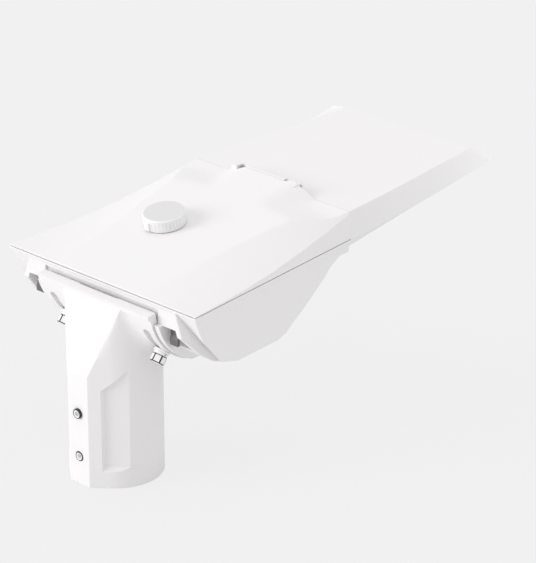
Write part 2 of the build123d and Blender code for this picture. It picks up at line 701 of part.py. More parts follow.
def main_housing():
    body = tray_block() + head_block()
    seat_r = WEB_R - WEB_THICK - WEB_GAP
    zone = block((REAR_X - BOSS_R, TILT_X), (-CHEEK_OUT, CHEEK_OUT), (FLOOR_Z, SEAT_TOP))
    body += zone & rod_y(TILT_X, TILT_Z, CHEEK_R, -CHEEK_OUT, CHEEK_OUT)
    keep = rod_y(TILT_X, TILT_Z, seat_r, -WEB_CLEAR, WEB_CLEAR)
    groove_half = WEB_HALF + CHEEK_GAP
    swept = on_arc(WEB_R, WEB_END + TILT_UP + TILT_SLACK * 2)[0]
    gap = block((KEEL_X, swept), (-groove_half, groove_half), (FLOOR_Z - BOSS_R, RECESS_TOP))
    body -= gap - keep
    body -= block((KEEL_X, RECESS_X), (-groove_half, groove_half), (SEAT_TOP, RECESS_TOP))
    scoop = scoop_cutter()
    body -= scoop
    body -= mirrored(scoop)
    bay = bay_cutter()
    body -= bay
    body -= mirrored(bay)
    body -= tray_space()
    for y in (-SLOT_Y, SLOT_Y):
        boss = radial_plane(BOLT_ANGLE, y, seat_r - BOSS_LENGTH) * extrude(Circle(BOSS_R), BOSS_LENGTH - 1)
        body += boss & block((KEEL_X, TILT_X), (-SPACE_MID_HALF - 1, SPACE_MID_HALF + 1), (FLOOR_Z, RIM_Z))
        body -= radial_plane(BOLT_ANGLE, y, seat_r - BOLT_HOLE) * extrude(Circle(BOLT_R + SCREW_FIT), BOLT_HOLE + 1)
    body += radial_plane(GLAND_ANGLE, 0, GLAND_SEAT - 5) * extrude(Circle(GLAND_THREAD_R + 5), 5)
    body -= radial_plane(GLAND_ANGLE, 0, 50) * extrude(Circle(GLAND_THREAD_R + SCREW_FIT), 30)
    body -= radial_plane(GLAND_ANGLE, 0, GLAND_SEAT) * extrude(Circle(GLAND_THREAD_R + 5), 10)
    for x in PLATE_POST_X:
        for y in (-PLATE_POST_Y, PLATE_POST_Y):
            body += Pos(x, y, (FLOOR_Z + 1 + PLATE_Z) / 2) * Cylinder(POST_R, PLATE_Z - FLOOR_Z - 1)
            body -= Pos(x, y, PLATE_Z - 4) * Cylinder(SMALL_R + SCREW_FIT, 9)
    below_rim = block((0, SEAM_X * 2), (-DUCT_R, DUCT_R), (0, RIM_Z))
    body += duct(DUCT_R, end_more=-8) & below_rim
    body -= duct(DUCT_BORE_R, start_more=12, end_more=4)
    body -= duct(GROMMET_R, start_more=14, end_more=GROMMET_LONG - duct_length())
    body -= optic_cuts()
    ring = space_plan(GROOVE_IN + GROOVE_WIDE) - space_plan(GROOVE_IN)
    body -= Pos(0, 0, RIM_Z - GROOVE_DEEP) * extrude(ring, GROOVE_DEEP + 1)
    body -= Pos(BREATHER_X, BREATHER_Y, FLOOR_Z) * Cylinder(BREATHER_STEM_R + SCREW_FIT, 20)
    lug = prism_y([(HINGE_X - BARREL_R, TOP_START - 1), (HINGE_X + BARREL_R + 3, TOP_START - 1),
                   (HINGE_X + BARREL_R, HINGE_Z), (HINGE_X - BARREL_R, HINGE_Z)], BARREL_FROM, BARREL_TO)
    body += lug & block((SEAM_X, SEAM_X + BARREL_R * 4), (BARREL_FROM, BARREL_TO), (TOP_START - 2, HINGE_Z))
    body += rod_y(HINGE_X, HINGE_Z, BARREL_R, BARREL_FROM, BARREL_TO)
    body -= rod_y(HINGE_X, HINGE_Z, HINGE_PIN_R + HINGE_FIT / 2, BARREL_FROM - 1, BARREL_TO + 1)
    return body


def hinge_pin():
    start = NOTCH_FROM - KNUCKLE_NEAR + PIN_SHORT
    end = NOTCH_TO + KNUCKLE_FAR - PIN_SHORT
    pin = rod_y(HINGE_X, HINGE_Z, HINGE_PIN_R, start, end)
    return chamfer(pin.edges().filter_by(GeomType.CIRCLE), 0.5)


def main_plane_z(x):
    return COVER_REAR_Z + COVER_SLOPE * (x - REAR_X)


def cover_form(inset, foot):
    sections = []
    for x, shoulder, narrow, crease in COVER_SECTIONS:
        wide = rim_half(x) - inset
        half = [(wide, foot), (wide - narrow, max(shoulder - inset, foot + 0.2)), (crease, main_plane_z(x) - inset)]
        ring = half + [(-y, z) for y, z in reversed(half)]
        sections.append(face_of([(x, y, z) for y, z in ring]))
    return loft(sections, ruled=True)


def line_meet(first, second):
    (x1, y1, dx1, dy1), (x2, y2, dx2, dy2) = first, second
    share = ((x2 - x1) * dy2 - (y2 - y1) * dx2) / (dx1 * dy2 - dy1 * dx2)
    return x1 + share * dx1, y1 + share * dy1


def spread_polygon(points, spreads):
    lines = []
    for index, (x, y) in enumerate(points):
        next_x, next_y = points[(index + 1) % len(points)]
        dx, dy = next_x - x, next_y - y
        size = sqrt(dx * dx + dy * dy)
        lines.append((x + dy / size * spreads[index], y - dx / size * spreads[index], dx, dy))
    return [line_meet(lines[index - 1], lines[index]) for index in range(len(points))]


def valley_cutter(sink):
    layers = []
    for height in (-sink, VALLEY_TALL):
        corners = spread_polygon(VALLEY_BASE, [rate * height for rate in VALLEY_SPREAD])
        if sink:
            corners = spread_polygon(corners, [sink, 0.0, 0.0, sink])
        layers.append(face_of([(x, y, VALLEY_Z + VALLEY_SLOPE * (x - SEAM_X) + height) for x, y in corners]))
    return loft(layers, ruled=True)


def catch():
    hook_low = LEVER_TOP - HOOK_THICK - HOOK_GAP
    stem = AXLE_X + LEVER_THICK / 2 + HOOK_REACH + HOOK_GAP
    line = [(stem, COVER_FOOT + 1), (stem, hook_low), (stem - HOOK_REACH + HOOK_GAP * 2, hook_low),
            (stem - HOOK_REACH + HOOK_GAP * 2, hook_low - HOOK_THICK / 2), (stem - 1, hook_low - HOOK_THICK * 1.6),
            (stem + CATCH_THICK, hook_low - HOOK_THICK * 1.6), (stem + CATCH_THICK, COVER_FOOT + 1)]
    middle = (SHAFT_IN + SHAFT_OUT) / 2
    return prism_y(line, middle - LEVER_HALF + 1, middle + LEVER_HALF - 1)


def cap_plane():
    lean = atan(COVER_SLOPE)
    return Plane(origin=(CAP_X, CAP_Y, main_plane_z(CAP_X)), x_dir=(cos(lean), 0, sin(lean)),
                 z_dir=(-sin(lean), 0, cos(lean)))


def cover():
    body = cover_form(0, COVER_FOOT)
    for sink in (valley_cutter(0), mirrored(valley_cutter(0))):
        body -= sink
    inner = cover_form(COVER_WALL, COVER_FOOT - 5)
    for sink in (valley_cutter(COVER_WALL), mirrored(valley_cutter(COVER_WALL))):
        inner -= sink
    inner &= block((REAR_X, COVER_FRONT - COVER_WALL), (-RIM_REAR_HALF, RIM_REAR_HALF), (0, HINGE_Z + 20))
    shaft = extrude(space_plan(-0.5), HINGE_Z + 20)
    upper = block((SPACE_SIDE_X, SEAM_X), (-RIM_REAR_HALF, RIM_REAR_HALF), (COVER_FOOT + COVER_FLANGE, HINGE_Z + 20))
    body -= inner & shaft
    body -= inner & upper
    body += cap_plane() * Pos(0, 0, -COVER_WALL) * extrude(Circle(SOCKET_HOLE_R + 4), COVER_WALL)
    body -= cap_plane() * Pos(0, 0, -20) * extrude(Circle(SOCKET_HOLE_R), 40)
    body -= block((NOTCH_X, SEAM_X + 20), (NOTCH_FROM, NOTCH_TO), (TOP_START - 1, HINGE_Z + 20))
    knuckles = [(NOTCH_FROM - KNUCKLE_NEAR, NOTCH_FROM), (NOTCH_TO, NOTCH_TO + KNUCKLE_FAR)]
    for start, end in knuckles:
        arm = prism_y([(NOTCH_X - 2, HINGE_Z - BARREL_R), (HINGE_X, HINGE_Z - BARREL_R),
                       (HINGE_X, HINGE_Z + BARREL_R), (NOTCH_X - 2, HINGE_Z + BARREL_R)], start, end)
        body += arm + rod_y(HINGE_X, HINGE_Z, BARREL_R, start, end)
        body -= rod_y(HINGE_X, HINGE_Z, HINGE_PIN_R + HINGE_FIT, start - 1, end + 1)
    hook = catch()
    return body + hook + mirrored(hook)


def cover_gasket():
    ring = space_plan(GROOVE_IN + GROOVE_WIDE - GASKET_SIDE) - space_plan(GROOVE_IN + GASKET_SIDE)
    low = RIM_Z - GROOVE_DEEP + 0.05
    return Pos(0, 0, low) * extrude(ring, RIM_Z + GASKET_PROUD - low)


def latch_lever():
    half_thick = LEVER_THICK / 2
    line = [(AXLE_X - half_thick, LEVER_TOP), (AXLE_X - half_thick, AXLE_Z), (AXLE_X - half_thick - 4, AXLE_Z - 7),
            (AXLE_X - half_thick - 4, LEVER_FOOT), (AXLE_X - half_thick - 1, LEVER_FOOT),
            (AXLE_X - half_thick - 1, AXLE_Z - 7), (AXLE_X + half_thick, AXLE_Z),
            (AXLE_X + half_thick, LEVER_TOP - HOOK_THICK), (AXLE_X + half_thick + HOOK_REACH, LEVER_TOP - HOOK_THICK),
            (AXLE_X + half_thick + HOOK_REACH - 1, LEVER_TOP - HOOK_THICK / 2), (AXLE_X + half_thick + 1, LEVER_TOP)]
    middle = (SHAFT_IN + SHAFT_OUT) / 2
    body = prism_y(line, middle - LEVER_HALF, middle + LEVER_HALF)
    body += rod_y(AXLE_X, AXLE_Z, LEVER_HUB_R, middle - LEVER_HALF, middle + LEVER_HALF)
    return body - rod_y(AXLE_X, AXLE_Z, AXLE_R + AXLE_FIT, 0, RIM_REAR_HALF)


def latch_axles():
    return both(rod_y(AXLE_X, AXLE_Z, AXLE_R, AXLE_IN + 0.2, AXLE_OUT - 0.2))


def latch_springs():
    coil = rod_y(AXLE_X, AXLE_Z, COIL_R, COIL_IN, COIL_OUT)
    foot = AXLE_X - COIL_R
    coil += block((foot, foot + COIL_WIRE), (COIL_OUT - COIL_WIRE, COIL_OUT), (AXLE_Z - COIL_LEG, AXLE_Z))
    high = AXLE_Z + COIL_R
    coil += block((AXLE_X, AXLE_X + COIL_LEG), (COIL_IN, COIL_IN + COIL_WIRE), (high - COIL_WIRE, high))
    return both(coil - rod_y(AXLE_X, AXLE_Z, COIL_R - COIL_WIRE, 0, RIM_REAR_HALF))


def tilt_block(long, wide, high, x, y, z, corner):
    return Pos(x, y, z) * extrude(RectangleRounded(long, wide, corner), high)


def small_screw(length):
    head = extrude(RegularPolygon(SMALL_HEAD_R, 6), SMALL_HEAD)
    return head + Pos(0, 0, -length) * extrude(RegularPolygon(SMALL_R, SHANK_SIDES), length)


def gear_plate():
    body = tilt_block(PLATE_TO - PLATE_FROM, PLATE_HALF * 2, PLATE_THICK, (PLATE_FROM + PLATE_TO) / 2, 0, PLATE_Z, 6)
    for x in PLATE_POST_X:
        for y in (-PLATE_POST_Y, PLATE_POST_Y):
            body -= Pos(x, y, PLATE_Z) * Cylinder(SMALL_R + 0.3, PLATE_THICK * 3)
    for y in (-PLATE_HALF / 2, PLATE_HALF / 2):
        body -= Pos(PLATE_TO - 4, y, PLATE_Z) * Cylinder(2.5, PLATE_THICK * 3)
    for x, y in driver_screw_spots() + clamp_screw_spots():
        body -= Pos(x, y, PLATE_Z) * Cylinder(SMALL_R + SCREW_FIT, PLATE_THICK * 3)
    return body


def gear_screws():
    group = Part()
    for x in PLATE_POST_X:
        for y in (-PLATE_POST_Y, PLATE_POST_Y):
            group += Pos(x, y, PLATE_Z + PLATE_THICK) * small_screw(9)
    return group


def driver_screw_spots():
    return [(DRIVER_X + dx, y) for dx in (-DRIVER_SCREW_X, DRIVER_SCREW_X)
            for y in (-DRIVER_HALF - DRIVER_EAR / 2, DRIVER_HALF + DRIVER_EAR / 2)]


def driver():
    low = PLATE_Z + PLATE_THICK
    body = tilt_block(DRIVER_LONG, DRIVER_HALF * 2, DRIVER_HIGH, DRIVER_X, 0, low, DRIVER_EDGE_R)
    body = chamfer(body.edges().group_by(Axis.Z)[-1], DRIVER_EDGE_R / 2)
    body += tilt_block(DRIVER_LONG, (DRIVER_HALF + DRIVER_EAR) * 2, DRIVER_EAR_HIGH, DRIVER_X, 0, low, DRIVER_EDGE_R)
    pitch = DRIVER_HALF * 2 / (DRIVER_RIB_COUNT + 1)
    for index in range(DRIVER_RIB_COUNT):
        y = -DRIVER_HALF + pitch * (index + 1)
        body -= Pos(DRIVER_X, y, low + DRIVER_HIGH) * Box(DRIVER_LONG - 14, 4, DRIVER_RIB_HIGH * 2)
    for x, y in driver_screw_spots():
        body -= Pos(x, y, low) * Cylinder(SMALL_R + 0.3, DRIVER_EAR_HIGH * 3)
    return body


def driver_screws():
    group = Part()
    for x, y in driver_screw_spots():
        group += Pos(x, y, PLATE_Z + PLATE_THICK + DRIVER_EAR_HIGH) * small_screw(DRIVER_EAR_HIGH + PLATE_THICK + 1)
    return group


def terminal_block():
    low = PLATE_Z + PLATE_THICK
    body = tilt_block(BLOCK_LONG, BLOCK_WIDE, BLOCK_HIGH, BLOCK_X, BLOCK_Y, low, 1)
    pitch = BLOCK_WIDE / BLOCK_WAYS
    for index in range(BLOCK_WAYS):
        y = BLOCK_Y - BLOCK_WIDE / 2 + pitch * (index + 0.5)
        body -= Pos(BLOCK_X, y, low + BLOCK_HIGH) * Cylinder(BLOCK_HOLE_R, 7)
        body -= Pos(BLOCK_X, y, low + BLOCK_HIGH / 3) * Box(BLOCK_LONG * 2, BLOCK_HOLE_R * 2, BLOCK_HOLE_R * 2)
    return body


def surge_protector():
    low = PLATE_Z + PLATE_THICK
    body = tilt_block(SURGE_LONG, SURGE_WIDE, SURGE_HIGH, BLOCK_X, SURGE_Y, low, 2)
    body = chamfer(body.edges().group_by(Axis.Z)[-1], 1)
    return body - Pos(BLOCK_X, SURGE_Y, low + SURGE_HIGH) * Cylinder(3, 2)


def clamp_screw_spots():
    return [(BLOCK_X, -CLAMP_SCREW_Y), (BLOCK_X, CLAMP_SCREW_Y)]


def cable_clamp():
    low = PLATE_Z + PLATE_THICK
    arch = rod_y(0, 0, CLAMP_R + CLAMP_THICK, 0, CLAMP_LONG) - rod_y(0, 0, CLAMP_R, -1, CLAMP_LONG + 1)
    arch &= block((-20, 20), (0, CLAMP_LONG), (0, 20))
    body = Pos(BLOCK_X + CLAMP_LONG / 2, 0, low) * Rot(0, 0, 90) * arch
    for y in (-1, 1):
        body += block((BLOCK_X - CLAMP_LONG / 2, BLOCK_X + CLAMP_LONG / 2),
                      sorted((y * (CLAMP_R + 0.5), y * (CLAMP_HALF + 1))), (low, low + CLAMP_THICK))
    for x, y in clamp_screw_spots():
        body -= Pos(x, y, low) * Cylinder(SMALL_R + 0.3, 20)
    return body


def clamp_screws():
    group = Part()
    for x, y in clamp_screw_spots():
        group += Pos(x, y, PLATE_Z + PLATE_THICK + CLAMP_THICK) * small_screw(CLAMP_THICK + PLATE_THICK + 1)
    return group


def cable_gland():
    body = Pos(0, 0, -TRAY_WALL - GLAND_INSIDE) * extrude(Circle(GLAND_THREAD_R), TRAY_WALL + GLAND_INSIDE)
    body += hexagon(GLAND_HEX, GLAND_HEX_LONG)
    cap = Pos(0, 0, GLAND_HEX_LONG) * extrude(Circle(GLAND_CAP_R), GLAND_CAP_LONG)
    body += chamfer(cap.edges().group_by(Axis.Z)[-1], 2.5)
    body -= Pos(0, 0, -20) * extrude(Circle(GLAND_BORE_R), 60)
    return radial_plane(GLAND_ANGLE, 0, GLAND_SEAT) * body


def gland_nut():
    nut = hexagon(GLAND_HEX + 1, GLAND_NUT_LONG) - extrude(Circle(GLAND_THREAD_R + SCREW_FIT), GLAND_NUT_LONG)
    return radial_plane(GLAND_ANGLE, 0, GLAND_SEAT - 5 - GLAND_NUT_LONG) * nut


def breather():
    top = FLOOR_Z + TRAY_WALL
    body = Pos(0, 0, FLOOR_Z - BREATHER_LOW) * extrude(Circle(BREATHER_R), BREATHER_LOW)
    body = chamfer(body.edges().group_by(Axis.Z)[0], 1)
    body += Pos(0, 0, FLOOR_Z - 1) * extrude(Circle(BREATHER_STEM_R), TRAY_WALL + 4)
    for index in range(6):
        body -= Rot(0, 0, 60 * index) * Pos(BREATHER_R, 0, FLOOR_Z - BREATHER_LOW / 2) * Box(2, 1.8, 1.6)
    return Pos(BREATHER_X, BREATHER_Y, 0) * body


def wire_grommet():
    sleeve = duct(GROMMET_R - 0.1, end_more=GROMMET_LONG - 0.1 - duct_length())
    return sleeve - duct(DUCT_BORE_R - 0.8, start_more=5)


def led_board():
    body = optic_slab(BOARD_LONG, BOARD_WIDE, 3, CHAMBER_TOP - BOARD_THICK, CHAMBER_TOP)
    for x, y in board_screw_spots():
        body -= optic_plane() * Pos(x, y, 0) * extrude(Circle(SMALL_R / 2 + 0.2), 30)
    return body


def board_screws():
    group = Part()
    low = CHAMBER_TOP - BOARD_THICK
    for x, y in board_screw_spots():
        screw = Pos(0, 0, low - 1) * extrude(RegularPolygon(SMALL_R, 6), 1)
        screw += Pos(0, 0, low) * extrude(RegularPolygon(SMALL_R / 2, 6), BOARD_THICK + 1.8)
        group += optic_plane() * Pos(x, y, 0) * screw
    return group


def lens_spots():
    rows = [(row - (LENS_ROWS - 1) / 2) * LENS_PITCH_LONG for row in range(LENS_ROWS)]
    columns = [(column - (LENS_COLUMNS - 1) / 2) * LENS_PITCH_WIDE for column in range(LENS_COLUMNS)]
    return [(x, y) for x in rows for y in columns]


def led_packages():
    group = Part()
    high = CHAMBER_TOP - BOARD_THICK
    for x, y in lens_spots():
        group += optic_plane() * Pos(x, y, high - LED_HIGH / 2) * Box(LED_SIZE, LED_SIZE, LED_HIGH)
    return group


def lens_plate():
    body = Pos(0, 0, LENS_PLATE_LOW) * extrude(RectangleRounded(BOARD_LONG - 12, BOARD_WIDE - 14, 4),
                                               LENS_PLATE_HIGH - LENS_PLATE_LOW)
    for x, y in lens_spots():
        tip = Pos(x, y, LENS_LOW) * RegularPolygon(LENS_TIP_R, LENS_SIDES)
        root = Pos(x, y, LENS_PLATE_LOW) * RegularPolygon(LENS_R, LENS_SIDES)
        body += loft([tip, root], ruled=True)
    return optic_plane() * body


def optic_glass():
    low = FRAME_THICK + SEAL_HIGH
    return optic_slab(GLASS_LONG, GLASS_WIDE, GLASS_R, low, low + GLASS_THICK)


def glass_gasket():
    low, high = FRAME_THICK + 0.05, FRAME_THICK + SEAL_HIGH - 0.05
    ring = optic_slab(GLASS_LONG, GLASS_WIDE, GLASS_R, low, high)
    return ring - optic_slab(GLASS_LONG - SEAL_WIDTH * 2, GLASS_WIDE - SEAL_WIDTH * 2, 3, 0, high + 1)


def glass_frame():
    body = optic_slab(FRAME_LONG - FRAME_GAP * 2, FRAME_WIDE - FRAME_GAP * 2, FRAME_R, 0, FRAME_THICK)
    body -= optic_slab(CHAMBER_LONG, CHAMBER_WIDE, GLASS_R, -1, FRAME_THICK + 1)
    for x, y in frame_screw_spots():
        spot = optic_plane() * Pos(x, y, 0)
        body -= spot * extrude(Circle(SMALL_R + 0.3), 10)
        body -= spot * extrude(Circle(SMALL_HEAD_R + 0.3), SMALL_HEAD)
    return body


def frame_screws():
    group = Part()
    for x, y in frame_screw_spots():
        group += optic_plane() * Pos(x, y, SMALL_HEAD) * Rot(180, 0, 0) * small_screw(8)
    return group


def lug_ring(inner, outer, low, high, span, shift):
    ring = Circle(outer) - Circle(inner)
    body = Pos(0, 0, low) * extrude(ring, high - low)
    keep = Part()
    reach = outer * 2
    half = radians(span / 2)
    for index in range(LUG_COUNT):
        turn = 360 / LUG_COUNT * index + shift
        wedge = [(0, 0), (reach * cos(half), -reach * sin(half)), (reach * cos(half), reach * sin(half))]
        keep += Rot(0, 0, turn) * prism_z(wedge, low, high)
    return body & keep


def control_socket():
    body = Pos(0, 0, -SOCKET_DEEP) * extrude(Circle(SOCKET_THREAD_R), SOCKET_DEEP + FLANGE_HIGH)
    body += Pos(0, 0, FLANGE_LOW) * extrude(Circle(FLANGE_R), FLANGE_HIGH - FLANGE_LOW)
    body += Pos(0, 0, FLANGE_HIGH) * extrude(Circle(NECK_R), NECK_TOP - FLANGE_HIGH)
    body += Pos(0, 0, RIM_LOW) * extrude(Circle(RIM_OUT_R), NECK_TOP - RIM_LOW)
    body -= lug_ring(NECK_R, RIM_OUT_R + 1, RIM_LOW - 1, NECK_TOP + 1, LUG_GAP_SPAN, LUG_TURN)
    body -= Pos(0, 0, CONTACT_FLOOR) * extrude(Circle(NECK_BORE_R), NECK_TOP)
    for index in range(CONTACT_COUNT):
        body -= Rot(0, 0, 360 / CONTACT_COUNT * index) * Pos(CONTACT_RING_R, 0, 0) * Box(CONTACT_WIDE, CONTACT_LONG, 12)
    return cap_plane() * body


def socket_gasket():
    ring = Circle(FLANGE_R) - Circle(SOCKET_THREAD_R + 0.3)
    high = FLANGE_LOW - SOCKET_GASKET_LOW
    return cap_plane() * Pos(0, 0, SOCKET_GASKET_LOW) * extrude(ring, high - SOCKET_GASKET_LOW)


def socket_nut():
    ring = RegularPolygon(NUT_R, NUT_FLATS, major_radius=False) - Circle(SOCKET_THREAD_R + SCREW_FIT)
    return cap_plane() * Pos(0, 0, -NUT_LOW) * extrude(ring, NUT_LOW - NUT_HIGH)


def dust_cap():
    body = Pos(0, 0, CAP_FOOT) * extrude(Circle(CAP_R), CAP_TOP - CAP_FOOT)
    body = chamfer(body.edges().group_by(Axis.Z)[-1], CAP_BEVEL)
    body -= Pos(0, 0, CAP_FOOT) * extrude(Circle(CAP_IN_R), CAP_TOP - CAP_FOOT - CAP_CROWN)
    body += lug_ring(LUG_IN_R, CAP_IN_R + 1, LUG_LOW, LUG_HIGH, LUG_SPAN, 0)
    flute = prism_z([(CAP_R - CAP_RIB_DEEP, 0), (CAP_R + 1, -CAP_RIB_HALF), (CAP_R + 1, CAP_RIB_HALF)],
                    CAP_FOOT, CAP_RIB_TOP)
    for index in range(CAP_RIBS):
        body -= Rot(0, 0, 360 / CAP_RIBS * index) * flute
    tab = block((CAP_R - 1, CAP_R + CAP_TAB_REACH), (-CAP_TAB_HALF, CAP_TAB_HALF), (CAP_FOOT, CAP_FOOT + 4))
    for turn in (CAP_TAB_ANGLE, CAP_TAB_ANGLE - 180):
        body += Rot(0, 0, turn) * fillet(tab.edges().filter_by(Axis.Z).group_by(Axis.X)[-1], 1.2)
    return cap_plane() * body


def cap_seal():
    ring = Circle(SEAL_OUT_R) - Circle(SEAL_IN_R)
    high = CAP_TOP - CAP_CROWN - 0.05
    return cap_plane() * Pos(0, 0, high - SEAL_THICK) * extrude(ring, SEAL_THICK)


def latch_right():
    return latch_lever()


def latch_left():
    return mirrored(latch_lever())


PIECES = [mounting_piece, set_screws, tilt_bolts, saddle_washers, spring_washers, main_housing, hinge_pin, cover,
          cover_gasket, latch_left, latch_right, latch_axles, latch_springs, gear_plate, gear_screws, driver,
          driver_screws, terminal_block, surge_protector, cable_clamp, clamp_screws, cable_gland, gland_nut,
          breather, wire_grommet, led_board, board_screws, led_packages, lens_plate, optic_glass, glass_gasket,
          glass_frame, frame_screws, control_socket, socket_gasket, socket_nut, dust_cap, cap_seal]

os.makedirs("parts", exist_ok=True)
for make in PIECES:
    shape = make()
    box = shape.bounding_box()
    print(make.__name__, len(shape.solids()), round(shape.volume), tuple(box.min), tuple(box.max))
    export_step(shape, f"parts/{make.__name__}.step")
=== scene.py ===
import bpy
import bmesh
from math import atan, cos, pi, radians, sin
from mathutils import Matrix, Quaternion, Vector


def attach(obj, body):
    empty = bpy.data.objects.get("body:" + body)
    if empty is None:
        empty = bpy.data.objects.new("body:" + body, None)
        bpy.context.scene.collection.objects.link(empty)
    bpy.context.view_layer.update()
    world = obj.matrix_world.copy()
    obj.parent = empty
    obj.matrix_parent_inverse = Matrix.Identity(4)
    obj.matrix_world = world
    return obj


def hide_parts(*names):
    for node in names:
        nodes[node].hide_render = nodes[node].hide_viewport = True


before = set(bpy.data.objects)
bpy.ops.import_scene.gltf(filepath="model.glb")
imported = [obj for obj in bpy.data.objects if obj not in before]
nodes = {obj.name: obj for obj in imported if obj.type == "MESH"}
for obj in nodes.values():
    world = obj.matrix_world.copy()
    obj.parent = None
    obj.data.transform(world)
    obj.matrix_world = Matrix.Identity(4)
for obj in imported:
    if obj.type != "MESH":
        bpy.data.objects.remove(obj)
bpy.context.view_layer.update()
mm = 0.001
print("frame loaded:", len(nodes), "nodes")


class Value:
    # a socket that can be used in sums
    def __init__(self, paint, socket):
        self.paint = paint
        self.socket = socket

    def maths(self, operation, other):
        return self.paint.node("ShaderNodeMath", {"operation": operation}, {0: self, 1: other})

    def __add__(self, other):
        return self.maths("ADD", other)

    __radd__ = __add__

    def __mul__(self, other):
        return self.maths("MULTIPLY", other)

    __rmul__ = __mul__

    def __gt__(self, other):
        return self.maths("GREATER_THAN", other)


class Paint:
    # one material or world with its node tree
    def __init__(self, name, owner=None):
        self.material = owner or bpy.data.materials.new(name)
        self.material.use_nodes = True
        self.tree = self.material.node_tree
        self.shader = self.tree.nodes.get("Principled BSDF")
        if self.shader:
            self.place = self.node("ShaderNodeTexCoord", out="Object")

    def plug(self, target, value):
        if isinstance(value, Value):
            self.tree.links.new(value.socket, target)
        else:
            target.default_value = value

    def node(self, kind, settings=None, inputs=None, out=0):
        made = self.tree.nodes.new(kind)
        for key, value in (settings or {}).items():
            setattr(made, key, value)
        for key, value in (inputs or {}).items():
            self.plug(made.inputs[key], value)
        return Value(self, made.outputs[out])

    def noise(self, scale, detail=3.0, stretch=None):
        place = self.place
        if stretch:
            place = self.node("ShaderNodeMapping", inputs={"Vector": place, "Scale": stretch})
        inputs = {"Vector": place, "Scale": scale, "Detail": detail}
        return self.node("ShaderNodeTexNoise", inputs=inputs, out="Fac")

    def blend(self, amount, first, second):
        return self.node("ShaderNodeMix", {"data_type": "RGBA"}, {0: amount, 6: first, 7: second}, out=2)

    def bump(self, height, distance, strength=1.0):
        inputs = {"Height": height, "Distance": distance, "Strength": strength}
        self.set("Normal", self.node("ShaderNodeBump", inputs=inputs))

    def set(self, name, value):
        self.plug(self.shader.inputs[name], value)

    def seenRays(self):
        # rays that show the plain background: camera, reflection and see-through
        rays = [self.node("ShaderNodeLightPath", out=kind)
                for kind in ("Is Camera Ray", "Is Glossy Ray", "Is Transmission Ray")]
        both = rays[0].maths("MAXIMUM", rays[1])
        return both.maths("MAXIMUM", rays[2])


def shade(colour, factor=1.0):
    return (colour[0] * factor, colour[1] * factor, colour[2] * factor, 1.0)


def powderCoat(name, colour, roughness=0.46, peel=0.00003):
    paint = Paint(name)
    cloud = paint.noise(14.0, 2.0)
    grain = paint.noise(1400.0, 2.0)
    paint.set("Base Color", paint.blend(cloud, shade(colour, 0.988), shade(colour)))
    paint.set("Roughness", roughness + 0.08 * grain)
    paint.bump(paint.noise(900.0, 3.0), peel, 0.3)
    paint.set("Coat Weight", 0.04)
    return paint.material


def metal(name, colour, roughness, stretch, metallic=1.0):
    paint = Paint(name)
    streak = paint.noise(260.0, 4.0, stretch)
    paint.set("Base Color", paint.blend(streak, shade(colour, 0.9), shade(colour, 1.05)))
    paint.set("Roughness", roughness + 0.14 * streak)
    paint.set("Metallic", metallic)
    paint.bump(streak, 0.00002, 0.4)
    return paint.material


def plastic(name, colour, roughness, texture, depth):
    paint = Paint(name)
    grain = paint.noise(texture, 3.0)
    paint.set("Base Color", paint.blend(grain, shade(colour, 0.96), shade(colour, 1.03)))
    paint.set("Roughness", roughness + 0.1 * grain)
    paint.bump(grain, depth, 0.5)
    return paint.material


def clear(name, colour, roughness, alpha):
    paint = Paint(name)
    haze = paint.noise(120.0, 2.0)
    paint.set("Base Color", paint.blend(haze, shade(colour, 0.97), shade(colour)))
    paint.set("Roughness", roughness + 0.03 * haze)
    paint.set("Alpha", alpha)
    return paint.material


def circuit(name, colour):
    paint = Paint(name)
    specks = paint.noise(500.0, 2.0)
    lines = paint.node("ShaderNodeTexWave", {"bands_direction": "Y"}, {"Vector": paint.place, "Scale": 90.0})
    track = lines > 0.93
    paint.set("Base Color", paint.blend(track, shade(colour), shade(colour, 0.88)))
    paint.set("Roughness", 0.38 + 0.1 * specks)
    paint.bump(track, 0.00005, 0.3)
    return paint.material


